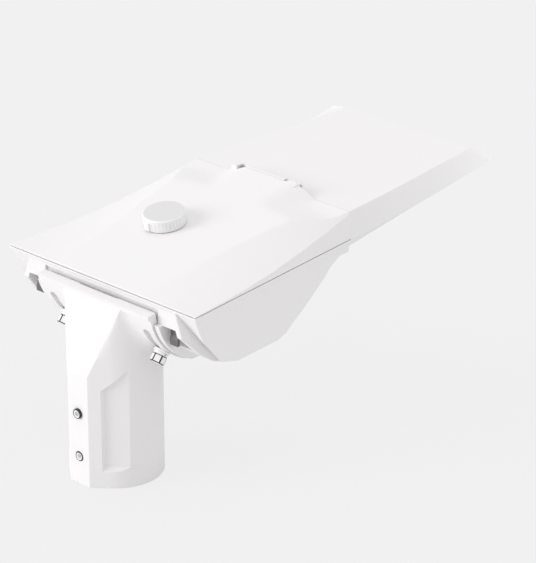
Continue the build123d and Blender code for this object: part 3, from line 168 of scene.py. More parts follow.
colours = {
    "white": (0.88, 0.865, 0.868), "cap": (0.88, 0.88, 0.88), "capTop": (0.73, 0.73, 0.73),
    "bolt": (0.96, 0.96, 0.96), "boltEdgePaintedReflection": (0.03, 0.03, 0.03), "steel": (0.66, 0.66, 0.67),
    "screwPaintedDarkReflection": (0.045, 0.045, 0.047), "sheet": (0.66, 0.67, 0.68), "driver": (0.58, 0.59, 0.6),
    # lever: dark grey, its tone set as painted shade for the dark latch pockets
    "lever": (0.15, 0.15, 0.155), "rubber": (0.035, 0.035, 0.038), "black": (0.014, 0.014, 0.015),
    "terminal": (0.8, 0.8, 0.79),
    "grey": (0.2, 0.21, 0.22), "board": (0.8, 0.81, 0.8), "package": (0.86, 0.86, 0.84),
    "phosphor": (0.8, 0.52, 0.06), "clear": (0.93, 0.95, 0.95),
}
finishes = {
    "whiteCoat": powderCoat("whiteCoat", colours["white"]),
    # bright plating of the bolts and washers, also used as a painted highlight inside the set screw sockets
    "boltPlateAndSocketHighlight": metal("boltPlateAndSocketHighlight", colours["bolt"], 0.3, (1.0, 1.0, 4.0), 0.1),
    # painted reflection: the near-black rounded edges stand for the dark reflections on the bolt heads
    "boltEdgePaintedReflection": plastic("boltEdgePaintedReflection", colours["boltEdgePaintedReflection"], 0.6, 900.0, 0.00002),
    "stainless": metal("stainless", colours["steel"], 0.2, (1.0, 1.0, 6.0)),
    # painted reflection: the set screws are coloured near black to stand for the dark shading of bright steel
    # on their rim
    "screwPaintedDarkReflection": metal("screwPaintedDarkReflection", colours["screwPaintedDarkReflection"], 0.35, (1.0, 1.0, 6.0), 0.5),
    "sheetMetal": metal("sheetMetal", colours["sheet"], 0.32, (0.4, 9.0, 1.0)),
    "driverCase": metal("driverCase", colours["driver"], 0.36, (9.0, 0.4, 1.0)),
    "seal": plastic("seal", colours["rubber"], 0.6, 700.0, 0.00003),
    "blackPlastic": plastic("blackPlastic", colours["black"], 0.5, 1100.0, 0.00004),
    # painted shade: the levers are darkened so that the latch pockets read dark
    "leverPlasticPaintedShade": plastic("leverPlasticPaintedShade", colours["lever"], 0.5, 1100.0, 0.00004),
    "terminalPlastic": plastic("terminalPlastic", colours["terminal"], 0.45, 1200.0, 0.00002),
    "capPlastic": plastic("capPlastic", colours["cap"], 0.4, 1200.0, 0.00002),
    "capTopPlastic": plastic("capTopPlastic", colours["capTop"], 0.5, 1400.0, 0.00003),
    "greyPlastic": plastic("greyPlastic", colours["grey"], 0.5, 900.0, 0.00003),
    "boardCoat": circuit("boardCoat", colours["board"]),
    "packageBody": plastic("packageBody", colours["package"], 0.4, 2500.0, 0.00001),
    "phosphor": plastic("phosphor", colours["phosphor"], 0.3, 2500.0, 0.00001),
    "lensClear": clear("lensClear", colours["clear"], 0.06, 0.38),
    "glassClear": clear("glassClear", colours["clear"], 0.03, 0.22),
}
nodeFinish = {
    "mounting_piece": "whiteCoat", "main_housing": "whiteCoat", "cover": "whiteCoat",
    "glass_frame": "whiteCoat",
    "set_screws": "screwPaintedDarkReflection", "tilt_bolts": "boltPlateAndSocketHighlight", "saddle_washers": "boltPlateAndSocketHighlight",
    "spring_washers": "boltPlateAndSocketHighlight", "hinge_pin": "stainless", "latch_axles": "stainless",
    "latch_springs": "stainless", "gear_screws": "stainless", "driver_screws": "stainless",
    "clamp_screws": "stainless", "board_screws": "stainless", "frame_screws": "stainless",
    "gear_plate": "sheetMetal", "driver": "driverCase", "cover_gasket": "seal", "wire_grommet": "seal",
    "glass_gasket": "seal", "socket_gasket": "seal", "cap_seal": "seal", "latch_left": "leverPlasticPaintedShade",
    "latch_right": "leverPlasticPaintedShade", "cable_clamp": "blackPlastic", "cable_gland": "blackPlastic",
    "gland_nut": "blackPlastic", "breather": "blackPlastic", "terminal_block": "terminalPlastic",
    "control_socket": "terminalPlastic", "socket_nut": "terminalPlastic", "dust_cap": "capPlastic",
    "surge_protector": "greyPlastic", "led_board": "boardCoat", "led_packages": "phosphor",
    "lens_plate": "lensClear", "optic_glass": "glassClear",
}
for name, finish in nodeFinish.items():
    mesh = nodes[name].data
    mesh.materials.clear()
    mesh.materials.append(finishes[finish])
print("finishes made:", len(finishes))


def deselectAll():
    bpy.ops.object.select_all(action="DESELECT")


def makeActive(piece):
    deselectAll()
    piece.select_set(True)
    bpy.context.view_layer.objects.active = piece


def openMesh(piece, kind="FACE"):
    makeActive(piece)
    bpy.ops.object.mode_set(mode="EDIT")
    bpy.ops.mesh.select_mode(type=kind)
    bpy.ops.mesh.select_all(action="DESELECT")


def closeMesh():
    bpy.ops.object.mode_set(mode="OBJECT")


def pickFaces(piece, wanted):
    # selects the faces whose place, in millimetres, and normal are wanted
    shape = bmesh.from_edit_mesh(piece.data)
    for face in shape.faces:
        face.select_set(bool(wanted(face.calc_center_median() / mm, face.normal)))
    bmesh.update_edit_mesh(piece.data)


def pickEdges(piece, wanted):
    shape = bmesh.from_edit_mesh(piece.data)
    for edge in shape.edges:
        edge.select_set(bool(wanted(edge)))
    bmesh.update_edit_mesh(piece.data)


def paintFaces(piece, finish, wanted):
    # the faces picked by place and normal get a second finish
    piece.data.materials.append(finishes[finish])
    for face in piece.data.polygons:
        if wanted(face.center / mm, face.normal):
            face.material_index = len(piece.data.materials) - 1


def turned(name, sides, outline, hollow=False):
    # one ring drawn on through the outline's radii and heights, in millimetres, as on a lathe
    radius, height = outline[0]
    deselectAll()
    fill = "NOTHING" if hollow else "NGON"
    bpy.ops.mesh.primitive_circle_add(vertices=sides, radius=radius * mm, fill_type=fill,
                                      location=(0.0, 0.0, height * mm))
    piece = bpy.context.object
    piece.name = name
    bpy.ops.object.transform_apply(location=True, rotation=True, scale=True)
    bpy.ops.object.mode_set(mode="EDIT")
    bpy.ops.mesh.select_all(action="SELECT")
    draw = bpy.ops.mesh.extrude_edges_move if hollow else bpy.ops.mesh.extrude_region_move
    for nextRadius, nextHeight in outline[1:]:
        draw(TRANSFORM_OT_translate={"value": (0.0, 0.0, (nextHeight - height) * mm)})
        grow = nextRadius / radius
        bpy.ops.transform.resize(value=(grow, grow, 1.0), center_override=(0.0, 0.0, 0.0))
        radius, height = nextRadius, nextHeight
    bpy.ops.mesh.select_all(action="SELECT")
    if hollow:
        bpy.ops.mesh.remove_doubles(threshold=0.000001)
    bpy.ops.mesh.normals_make_consistent(inside=False)
    closeMesh()
    return piece


def hexPrism(name, flats, low, high):
    deselectAll()
    radius = flats / 2 / cos(radians(30)) * mm
    bpy.ops.mesh.primitive_cylinder_add(vertices=6, radius=radius, depth=(high - low) * mm,
                                        location=(0.0, 0.0, (low + high) / 2 * mm))
    piece = bpy.context.object
    piece.name = name
    bpy.ops.object.transform_apply(location=True, rotation=True, scale=True)
    return piece


def box(name, size, middle):
    deselectAll()
    bpy.ops.mesh.primitive_cube_add(size=1.0, location=[c * mm for c in middle])
    piece = bpy.context.object
    piece.name = name
    piece.scale = [c * mm for c in size]
    bpy.ops.object.transform_apply(location=True, rotation=True, scale=True)
    return piece


def cut(piece, tool, how="DIFFERENCE"):
    change = piece.modifiers.new("cut", "BOOLEAN")
    change.operation = how
    change.object = tool
    change.solver = "EXACT"
    makeActive(piece)
    bpy.ops.object.modifier_apply(modifier="cut")
    bpy.data.objects.remove(tool)


def evenNormals(piece, smooth=32.0):
    # flat faces stay flat and the narrow faces round them carry the turn
    makeActive(piece)
    bpy.ops.mesh.customdata_custom_splitnormals_clear()
    bpy.ops.object.shade_smooth_by_angle(angle=radians(smooth))
    flat = piece.modifiers.new("flat", "WEIGHTED_NORMAL")
    flat.keep_sharp = True
    flat.weight = 100
    bpy.ops.object.modifier_apply(modifier="flat")


def soften(piece, width, steps=2, angle=30.0, edgeFinish=None, smooth=32.0):
    edge = piece.modifiers.new("edge", "BEVEL")
    edge.width = width * mm
    edge.segments = steps
    edge.limit_method = "ANGLE"
    edge.angle_limit = radians(angle)
    if edgeFinish:
        piece.data.materials.append(finishes[edgeFinish])
        edge.material = len(piece.data.materials) - 1
    makeActive(piece)
    bpy.ops.object.modifier_apply(modifier="edge")
    evenNormals(piece, smooth)


def seat(piece, place, outward=(0.0, 0.0, 1.0), spin=0.0):
    turn = Vector(outward).to_track_quat("Z", "Y") @ Quaternion((0.0, 0.0, 1.0), radians(spin))
    piece.rotation_euler = turn.to_euler()
    piece.location = Vector(place) * mm
    makeActive(piece)
    bpy.ops.object.transform_apply(location=True, rotation=True, scale=True)
    return piece


def twin(piece, name):
    makeActive(piece)
    bpy.ops.object.duplicate(linked=False)
    made = bpy.context.object
    made.name = name
    return made


def joined(pieces, name):
    deselectAll()
    for piece in pieces:
        piece.select_set(True)
    bpy.context.view_layer.objects.active = pieces[0]
    if len(pieces) > 1:
        bpy.ops.object.join()
    pieces[0].name = name
    return pieces[0]


def setOut(model, name, spots):
    # copies of one model at many places, joined; each spot is a place and an outward direction
    copies = [seat(twin(model, name + "Copy"), place, outward) for place, outward in spots]
    bpy.data.objects.remove(model)
    return joined(copies, name)


def coat(piece, finish):
    piece.data.materials.clear()
    piece.data.materials.append(finishes[finish])
    return piece


def declare(piece, body, node):
    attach(piece, body)
    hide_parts(node)


def castingCopy(node, name):
    # a merged copy of a CAD node, with its flat faces whole
    piece = bpy.data.objects.new(name, nodes[node].data.copy())
    bpy.context.scene.collection.objects.link(piece)
    openMesh(piece)
    bpy.ops.mesh.select_all(action="SELECT")
    bpy.ops.mesh.remove_doubles(threshold=0.000002)
    bpy.ops.mesh.dissolve_limited(angle_limit=radians(0.6))
    closeMesh()
    return piece


# spigot: two sunk side panels, which the CAD lacks, and a slanted face with soft edges
spigot = {"round": 0.7, "angle": 28.0, "slantLow": 131.0, "slantHigh": 176.0, "halfWide": 42.0,
          "grid": 3.0, "rounds": 8, "backward": -0.15, "steepest": 0.4}
sidePanel = {"facet": 39.4, "floor": 41.5, "near": -5.5, "far": 27.0, "foot": 21.0, "topNear": 98.0,
             "topFar": 130.0, "out": 10.0, "slope": 0.857}
spigotCasting = castingCopy("mounting_piece", "spigotCasting")
panelWide, panelTall = sidePanel["far"] - sidePanel["near"], sidePanel["topNear"] - sidePanel["foot"]
panelModel = box("panelModel", (panelWide, panelTall, sidePanel["out"]),
                 (sidePanel["near"] + panelWide / 2, sidePanel["foot"] + panelTall / 2, sidePanel["out"] / 2))
openMesh(panelModel, "EDGE")
farEnd, nearTop = (sidePanel["far"] - 1) * mm, (sidePanel["topNear"] - 1) * mm
pickEdges(panelModel, lambda edge: all(vert.co.x > farEnd and vert.co.y > nearTop for vert in edge.verts))
bpy.ops.transform.translate(value=(0.0, (sidePanel["topFar"] - sidePanel["topNear"]) * mm, 0.0))
closeMesh()
openMesh(panelModel)
pickFaces(panelModel, lambda place, normal: normal.z > 0.9)
grow = sidePanel["out"] * sidePanel["slope"] * 2
panelCentre = (sidePanel["near"] + panelWide / 2, (sidePanel["foot"] + sidePanel["topFar"]) / 2,
               sidePanel["out"])
bpy.ops.transform.resize(value=(1 + grow / panelWide, 1 + grow / panelTall, 1.0),
                         center_override=[c * mm for c in panelCentre])
closeMesh()
panelTurn = radians(sidePanel["facet"])
for side in (-1.0, 1.0):
    outward = Vector((-cos(panelTurn), side * sin(panelTurn), 0.0))
    tool = twin(panelModel, "panelTool")
    if side > 0:
        tool.scale = (-1.0, 1.0, 1.0)
        bpy.ops.object.transform_apply(location=True, rotation=True, scale=True)
        openMesh(tool)
        bpy.ops.mesh.select_all(action="SELECT")
        bpy.ops.mesh.normals_make_consistent(inside=False)
        closeMesh()
    seat(tool, outward * sidePanel["floor"], outward)
    cut(spigotCasting, tool)
bpy.data.objects.remove(panelModel)


def melt(piece, wanted, cuts, rounds):
    # a fine grid is cut over the wanted faces, and smoothing its inner points melts their creases;
    # the second material number marks those faces while this lasts
    openMesh(piece)
    shape = bmesh.from_edit_mesh(piece.data)
    for face in shape.faces:
        area = face.calc_area() / mm ** 2
        face.material_index = int(wanted(face.calc_center_median() / mm, face.normal, area))
    for place, across in cuts:
        shape = bmesh.from_edit_mesh(piece.data)
        for face in shape.faces:
            face.select_set(face.material_index == 1)
        bmesh.update_edit_mesh(piece.data)
        bpy.ops.mesh.bisect(plane_co=[c * mm for c in place], plane_no=across)
    bpy.ops.mesh.select_mode(type="VERT")
    bpy.ops.mesh.select_all(action="DESELECT")
    shape = bmesh.from_edit_mesh(piece.data)
    for vert in shape.verts:
        marked = all(face.material_index == 1 for face in vert.link_faces)
        vert.select_set(len(vert.link_faces) > 0 and marked)
    print("points melted on", piece.name + ":", sum(vert.select for vert in shape.verts))
    bmesh.update_edit_mesh(piece.data)
    bpy.ops.mesh.vertices_smooth(factor=0.5, repeat=rounds)
    for face in bmesh.from_edit_mesh(piece.data).faces:
        face.material_index = 0
    closeMesh()


def gridCuts(low, high, step, axes):
    # planes across the named axes, one step apart, between two corners
    cuts = []
    for axis in axes:
        across = Vector([1.0 if index == axis else 0.0 for index in range(3)])
        for count in range(int((high[axis] - low[axis]) / step) + 1):
            cuts.append((across * (low[axis] + count * step), across))
    return cuts


def onSlant(place, normal, area):
    within = spigot["slantLow"] < place.z < spigot["slantHigh"]
    return within and normal.x < spigot["backward"] and abs(normal.z) < spigot["steepest"]


openMesh(spigotCasting)
for height in (spigot["slantLow"], spigot["slantHigh"]):
    bpy.ops.mesh.select_all(action="SELECT")
    bpy.ops.mesh.bisect(plane_co=(0.0, 0.0, height * mm), plane_no=(0.0, 0.0, 1.0))
closeMesh()
slantCuts = gridCuts((0.0, -spigot["halfWide"], spigot["slantLow"]),
                     (0.0, spigot["halfWide"], spigot["slantHigh"]), spigot["grid"], (1, 2))
melt(spigotCasting, onSlant, slantCuts, spigot["rounds"])
soften(spigotCasting, spigot["round"], 2, spigot["angle"])
declare(spigotCasting, "mount", "mounting_piece")

# castings and mouldings by node: piece, body, edge rounding, least edge angle, slot
castings = {
    "main_housing": ("housingCasting", "housing", 0.6, 28, "white_paint"),
    "cover": ("coverCasting", "lid", 0.5, 32, "white_paint"),
    "glass_frame": ("glassBezel", "housing", 0.35, 40, "white_paint"),
    "saddle_washers": ("saddleWashers", "housing", 0.25, 40, "steel"),
    "gear_plate": ("gearPlate", "housing", 0.3, 40, "sheet"),
    "driver": ("driverCan", "housing", 0.5, 30, "sheet"),
    "surge_protector": ("surgeCase", "housing", 0.5, 30, "grey_plastic"),
    "cable_clamp": ("cordClamp", "housing", 0.4, 40, "black_plastic"),
    "breather": ("breatherPlug", "housing", 0.3, 40, "black_plastic"),
    "control_socket": ("socketBody", "lid", 0.25, 40, "white_plastic"),
    "socket_nut": ("socketNut", "lid", 0.4, 40, "white_plastic"),
    "cover_gasket": ("coverSeal", "housing", 0.45, 40, "seal_rubber"),
}
coverTop = {"from": -18.0, "to": 206.0, "halfWide": 118.0, "grid": 4.0, "rounds": 14, "upward": 0.45,
            "leastArea": 60.0}


def onCoverTop(place, normal, area):
    within = coverTop["from"] < place.x < coverTop["to"]
    return within and normal.z > coverTop["upward"] and area > coverTop["leastArea"]


for node, (name, body, edgeRound, edgeAngle, slot) in castings.items():
    casting = castingCopy(node, name)
    soften(casting, edgeRound, 2, edgeAngle)
    if node == "cover":
        coverCuts = gridCuts((coverTop["from"], -coverTop["halfWide"], 0.0),
                             (coverTop["to"], coverTop["halfWide"], 0.0), coverTop["grid"], (0, 1))
        melt(casting, onCoverTop, coverCuts, coverTop["rounds"])
        evenNormals(casting)
    declare(casting, body, node)
print("castings and mouldings softened:", len(castings) + 1)

# twist cap with a darker crown
capTabs = {"turns": (172.0, 352.0), "wide": 8.0, "proud": 1.7, "rooted": 1.5, "low": 1.2, "high": 9.6,
           "radius": 20.55, "round": 1.0}
capSkirt = {"inner": 19.1, "low": 0.7, "high": 3.2}
capCrown = {"axis": (-0.154714, 0.0, 0.987959), "middle": (88.5, 20.0, 215.82), "from": 11.9,
            "round": 0.45, "facing": 0.93}
twistCap = castingCopy("dust_cap", "twistCap")
capAxis = Vector(capCrown["axis"])
sleeve = turned("sleeve", 144, [(capTabs["radius"] + 0.05, -5.0), (capTabs["radius"] + 0.05, 20.0)])
cut(twistCap, seat(sleeve, capCrown["middle"], capAxis), "INTERSECT")
soften(twistCap, capCrown["round"], 3, 24.0)
skirt = turned("skirt", 72, [
    (capSkirt["inner"], capSkirt["low"]), (capTabs["radius"] - 0.4, capSkirt["low"]),
    (capTabs["radius"] - 0.15, capSkirt["low"] + 0.3), (capTabs["radius"] - 0.15, capSkirt["high"]),
    (capSkirt["inner"], capSkirt["high"]), (capSkirt["inner"], capSkirt["low"])], hollow=True)
makeActive(skirt)
bpy.ops.object.shade_smooth_by_angle(angle=radians(32))
tabs = []
for turn in capTabs["turns"]:
    deep = capTabs["proud"] + capTabs["rooted"]
    tab = box("tab", (deep, capTabs["wide"], capTabs["high"] - capTabs["low"]),
              (capTabs["radius"] - capTabs["rooted"] + deep / 2, 0.0, (capTabs["high"] + capTabs["low"]) / 2))
    soften(tab, capTabs["round"], 4, 40.0)
    tab.rotation_euler = (0.0, 0.0, radians(turn))
    makeActive(tab)
    bpy.ops.object.transform_apply(location=True, rotation=True, scale=True)
    tabs.append(tab)
for part in [skirt] + tabs:
    coat(part, "capPlastic")
    seat(part, capCrown["middle"], capAxis, spin=-90.0)
twistCap = joined([twistCap, skirt] + tabs, "twistCap")


def onCrown(place, normal):
    height = (place - Vector(capCrown["middle"])).dot(capAxis)
    return normal.dot(capAxis) > capCrown["facing"] and height > capCrown["from"]


paintFaces(twistCap, "capTopPlastic", onCrown)
declare(twistCap, "cap", "dust_cap")

# tilt bolts: chamfered hexagon on a washer face; its rounded edges are painted near black as a painted dark
# reflection
tiltBolt = {"flats": 13.0, "head": 8.4, "lead": 6.3, "edge": 0.9, "face": 6.1, "shank": 3.92, "long": 27.4,
            "angle": 231.0, "seat": 76.5, "side": 61.5, "joint": (47.0, 196.0)}


def onTilt(radius, side, angle=tiltBolt["angle"]):
    turn = radians(angle)
    outward = (cos(turn), 0.0, sin(turn))
    x, z = tiltBolt["joint"]
    return (x + radius * outward[0], side, z + radius * outward[2]), outward


chamfer = {"reach": 12.0, "run": 1.73}


def chamferCone(lead, top=None):
    # takes the corners off one end of a hexagon, at 30 degrees: the top at that height, or the foot at zero
    wide = lead + chamfer["reach"] * chamfer["run"]
    if top is None:
        return turned("cone", 48, [(lead, 0.0), (wide, chamfer["reach"])])
    return turned("cone", 48, [(wide, top - chamfer["reach"]), (lead, top)])


head = hexPrism("head", tiltBolt["flats"], 0.45, tiltBolt["head"])
cone = chamferCone(tiltBolt["lead"], tiltBolt["head"])
coat(head, "boltPlateAndSocketHighlight")
# the bevel strips get the near-black painted reflection
soften(head, tiltBolt["edge"], 1, 25.0, "boltEdgePaintedReflection")
cut(head, cone, "INTERSECT")
evenNormals(head, 25.0)
washerFace = coat(turned("washerFace", 40, [(tiltBolt["face"], 0.0), (tiltBolt["face"], 0.5)]), "boltPlateAndSocketHighlight")
shank = coat(turned("shank", 32, [(3.2, -tiltBolt["long"]), (tiltBolt["shank"], 0.8 - tiltBolt["long"]),
                                  (tiltBolt["shank"], 0.2)]), "boltPlateAndSocketHighlight")
for part in (washerFace, shank):
    makeActive(part)
    bpy.ops.object.shade_smooth_by_angle(angle=radians(32))
boltModel = joined([head, washerFace, shank], "boltModel")
sides = (-tiltBolt["side"], tiltBolt["side"])
hexBolts = setOut(boltModel, "hexBolts", [onTilt(tiltBolt["seat"], side) for side in sides])
declare(hexBolts, "housing", "tilt_bolts")

# split washers: a square section spun almost all the way round
splitWasher = {"inner": 4.35, "outer": 7.1, "thick": 2.05, "turn": 344.0, "seat": 74.35}
washerMiddle = (splitWasher["inner"] + splitWasher["outer"]) / 2
washerWide = splitWasher["outer"] - splitWasher["inner"]
deselectAll()
bpy.ops.mesh.primitive_plane_add(size=1.0, rotation=(radians(90), 0.0, 0.0),
                                 location=(washerMiddle * mm, 0.0, (splitWasher["thick"] / 2 + 0.05) * mm))
washer = bpy.context.object
washer.scale = (washerWide * mm, splitWasher["thick"] * mm, 1.0)
bpy.ops.object.transform_apply(location=True, rotation=True, scale=True)
openMesh(washer)
bpy.ops.mesh.select_all(action="SELECT")
bpy.ops.mesh.spin(steps=44, dupli=False, angle=radians(splitWasher["turn"]), center=(0.0, 0.0, 0.0),
                  axis=(0.0, 0.0, 1.0))
bpy.ops.mesh.select_all(action="SELECT")
bpy.ops.mesh.remove_doubles(threshold=0.000001)
bpy.ops.mesh.fill_holes(sides=4)
bpy.ops.mesh.select_all(action="SELECT")
bpy.ops.mesh.normals_make_consistent(inside=False)
closeMesh()
coat(washer, "boltPlateAndSocketHighlight")
soften(washer, 0.22, 2, 40.0)
splitWashers = setOut(washer, "splitWashers", [onTilt(splitWasher["seat"], side) for side in sides])
declare(splitWashers, "housing", "spring_washers")

# set screws: a dark rim and a bright hexagon socket, a painted reflection and a painted highlight standing
# for the shading of bright steel
setScrew = {"radius": 4.92, "long": 9.9, "rim": 3.75, "sunk": 0.5, "flats": 5.0, "deep": 5.3, "bright": 6.0,
            "ends": ((-48.8, 28.5), (-50.6, 73.0))}
screwModel = turned("screwModel", 32, [
    (3.6, -setScrew["long"]), (setScrew["radius"], 1.2 - setScrew["long"]), (setScrew["radius"], -0.6),
    (4.5, -0.1), (setScrew["rim"] + 0.2, -0.05), (setScrew["rim"], -0.15),
    (setScrew["rim"] - 0.2, -setScrew["sunk"])])
cut(screwModel, hexPrism("key", setScrew["flats"], -setScrew["deep"], 1.0))
coat(screwModel, "screwPaintedDarkReflection")
# painted highlight: the hexagon socket inside the rim gets the bright plating colour
paintFaces(screwModel, "boltPlateAndSocketHighlight", lambda place, normal: (
    place.xy.length < setScrew["rim"] and place.z > -setScrew["bright"]))
makeActive(screwModel)
bpy.ops.object.shade_smooth_by_angle(angle=radians(32))
screwEnds = [((x, 0.0, z), (-1.0, 0.0, 0.0)) for x, z in setScrew["ends"]]
keelScrews = setOut(screwModel, "keelScrews", screwEnds)
declare(keelScrews, "mount", "set_screws")
print("tilt joint and pole fasteners made")

# hinge pin with domed ends
pin = {"radius": 2.46, "from": -34.5, "to": 45.5, "dome": 0.9, "x": 215.0, "z": 229.4}
pinLong = pin["to"] - pin["from"]
hingePin = coat(turned("hingePin", 36, [
    (1.2, 0.0), (2.0, 0.25), (pin["radius"], pin["dome"]), (pin["radius"], pinLong - pin["dome"]),
    (2.0, pinLong - 0.25), (1.2, pinLong)]), "stainless")
makeActive(hingePin)
bpy.ops.object.shade_smooth_by_angle(angle=radians(40))
seat(hingePin, (pin["x"], pin["from"], pin["z"]), (0.0, 1.0, 0.0))
declare(hingePin, "housing", "hinge_pin")

# latches: softened levers with three grip bars on the foot
latch = {"round": 0.45, "bars": (158.6, 160.4, 162.2), "barX": -10.45, "barR": 0.42, "barHalf": 4.2,
         "side": 88.0}
barEnd = latch["barR"] * 0.6
barOutline = [(barEnd, -latch["barHalf"]), (latch["barR"], 0.4 - latch["barHalf"]),
              (latch["barR"], latch["barHalf"] - 0.4), (barEnd, latch["barHalf"])]
levers = (("latch_left", "leverLeft", "catch_left", -1), ("latch_right", "leverRight", "catch_right", 1))
for node, name, body, side in levers:
    lever = castingCopy(node, name)
    soften(lever, latch["round"], 2, 35.0)
    bars = []
    for height in latch["bars"]:
        bar = coat(turned("bar", 12, barOutline), "leverPlasticPaintedShade")
        makeActive(bar)
        bpy.ops.object.shade_smooth_by_angle(angle=radians(40))
        bars.append(seat(bar, (latch["barX"], side * latch["side"], height), (0.0, 1.0, 0.0)))
    lever = joined([lever] + bars, name)
    declare(lever, body, node)
print("hinge and latches made")

# cable gland: threaded stem, hexagon, fluted dome and rubber insert
gland = {"angle": 240.0, "seat": 63.3, "thread": 9.95, "root": 9.4, "pitch": 1.5, "stem": 11.0, "bore": 5.25,
         "flats": 24.0, "hex": 6.8, "lead": 12.9, "cap": 11.3, "top": 15.9, "flutes": 24,
         "fluteEdge": 0.18, "fluteDeep": 0.5}
thread = [(gland["bore"], 0.1), (gland["bore"], 0.2 - gland["stem"]), (gland["root"], 0.2 - gland["stem"])]
turns = int((gland["stem"] - 1.2) / gland["pitch"])
for turn in range(turns):
    low = 0.4 - gland["stem"] + turn * gland["pitch"]
    thread += [(gland["root"], low), (gland["thread"], low + 0.5),
               (gland["thread"], low + 0.7), (gland["root"], low + 1.2)]
stem = turned("stem", 40, thread + [(gland["root"], 0.1), (gland["bore"], 0.1)], hollow=True)
collar = hexPrism("collar", gland["flats"], 0.0, gland["hex"])
for top in (gland["hex"], None):
    cut(collar, chamferCone(gland["lead"], top), "INTERSECT")
cut(collar, turned("hole", 40, [(gland["bore"], -1.0), (gland["bore"], gland["hex"] + 1.0)]))
dome = turned("dome", 48, [
    (gland["bore"] + 2.0, 6.9), (gland["cap"] - 0.5, 6.9), (gland["cap"], 7.4), (gland["cap"], 12.6),
    (gland["cap"] - 0.4, 14.0), (gland["cap"] - 1.4, 15.2), (gland["cap"] - 2.8, gland["top"]),
    (gland["bore"] + 2.6, gland["top"]), (gland["bore"] + 2.0, gland["top"] - 0.5),
    (gland["bore"] + 2.0, 6.9)], hollow=True)
openMesh(dome)


def onFlute(place, normal):
    # every second facet of the upright wall
    facet = Vector((0.0, 1.0)).angle_signed(place.xy) / radians(180 / gland["flutes"])
    outside = abs(normal.z) < 0.1 and place.xy.length > 11.0 and 8.0 < place.z < 12.0
    return outside and int(facet // 1) % 2 == 0


pickFaces(dome, onFlute)
bpy.ops.mesh.inset(thickness=gland["fluteEdge"] * mm, depth=-gland["fluteDeep"] * mm, use_individual=True)
closeMesh()
insert = turned("insert", 40, [
    (4.3, 8.0), (gland["bore"] + 1.9, 8.0), (gland["bore"] + 1.9, 15.0), (5.2, 15.2), (4.3, 14.4),
    (4.3, 8.0)], hollow=True)
for part in (stem, collar, dome):
    coat(part, "blackPlastic")
coat(insert, "seal")
for part in (stem, dome, insert):
    makeActive(part)
    bpy.ops.object.shade_smooth_by_angle(angle=radians(34))
soften(collar, 0.3, 2, 25.0)
cableGland = joined([collar, stem, dome, insert], "cableGland")
seat(cableGland, *onTilt(gland["seat"], 0.0, gland["angle"]))
declare(cableGland, "housing", "cable_gland")

nut = {"flats": 26.0, "high": 4.5, "bore": 10.05, "round": 0.4, "wall": 5.0}
lockNut = hexPrism("lockNut", nut["flats"], 0.0, nut["high"])
cut(lockNut, turned("hole", 40, [(nut["bore"], -1.0), (nut["bore"], nut["high"] + 1.5)]))
coat(lockNut, "blackPlastic")
soften(lockNut, nut["round"], 2, 35.0)
seat(lockNut, *onTilt(gland["seat"] - nut["wall"] - nut["high"], 0.0, gland["angle"]))
declare(lockNut, "housing", "gland_nut")
print("cable gland made")


def panScrew(name, headRadius, headHigh, shankRadius, long, keyFlats):
    # domed head with a hexagon key, on a plain shank with a lead
    screw = turned(name, 20, [
        (shankRadius * 0.7, -long), (shankRadius, -long + shankRadius * 0.5), (shankRadius, 0.0),
        (headRadius * 0.96, 0.0), (headRadius, headHigh * 0.2), (headRadius * 0.96, headHigh * 0.55),
        (headRadius * 0.82, headHigh * 0.85), (headRadius * 0.6, headHigh)])
    cut(screw, hexPrism("key", keyFlats, headHigh * 0.35, headHigh + 1.0))
    coat(screw, "stainless")
    makeActive(screw)
    bpy.ops.object.shade_smooth_by_angle(angle=radians(34))
    return screw


up = (0.0, 0.0, 1.0)
plateHead = {"radius": 3.55, "high": 1.95, "shank": 1.95, "key": 2.6}
screwSets = {
    "gear_screws": {"piece": "plateScrews", "long": 8.9, "z": 148.0,
                    "spots": [(x, y) for x in (46.0, 114.0) for y in (-80.0, 80.0)]},
    "driver_screws": {"piece": "driverEarScrews", "long": 5.9, "z": 151.0,
                      "spots": [(x, y) for x in (70.0, 110.0) for y in (-70.5, 70.5)]},
    "clamp_screws": {"piece": "clampBridgeScrews", "long": 5.9, "z": 151.0,
                     "spots": [(49.0, y) for y in (-12.2, 12.2)]},
}
for node, spec in screwSets.items():
    model = panScrew("panScrew", plateHead["radius"], plateHead["high"], plateHead["shank"], spec["long"],
                     plateHead["key"])
    screws = setOut(model, spec["piece"], [((x, y, spec["z"]), up) for x, y in spec["spots"]])
    declare(screws, "housing", node)

# terminal block: softened body with a slotted screw in each way
terminal = {"x": 49.0, "middle": 40.0, "wide": 42.0, "ways": 5, "floor": 161.5, "head": 1.95, "round": 0.35}
terminalBody = castingCopy("terminal_block", "terminalBody")
soften(terminalBody, terminal["round"], 2, 40.0)
declare(terminalBody, "housing", "terminal_block")
slotScrew = turned("slotScrew", 20, [
    (terminal["head"], 0.0), (terminal["head"], 1.2), (terminal["head"] - 0.3, 1.5)])
cut(slotScrew, box("slot", (5.0, 0.7, 1.4), (0.0, 0.0, 1.5)))
coat(slotScrew, "stainless")
pitch = terminal["wide"] / terminal["ways"]
ways = [terminal["middle"] - terminal["wide"] / 2 + pitch * (way + 0.5) for way in range(terminal["ways"])]
wayScrews = setOut(slotScrew, "wayScrews", [((terminal["x"], y, terminal["floor"]), up) for y in ways])
declare(wayScrews, "housing", "terminal_block")
print("gear and its screws made")

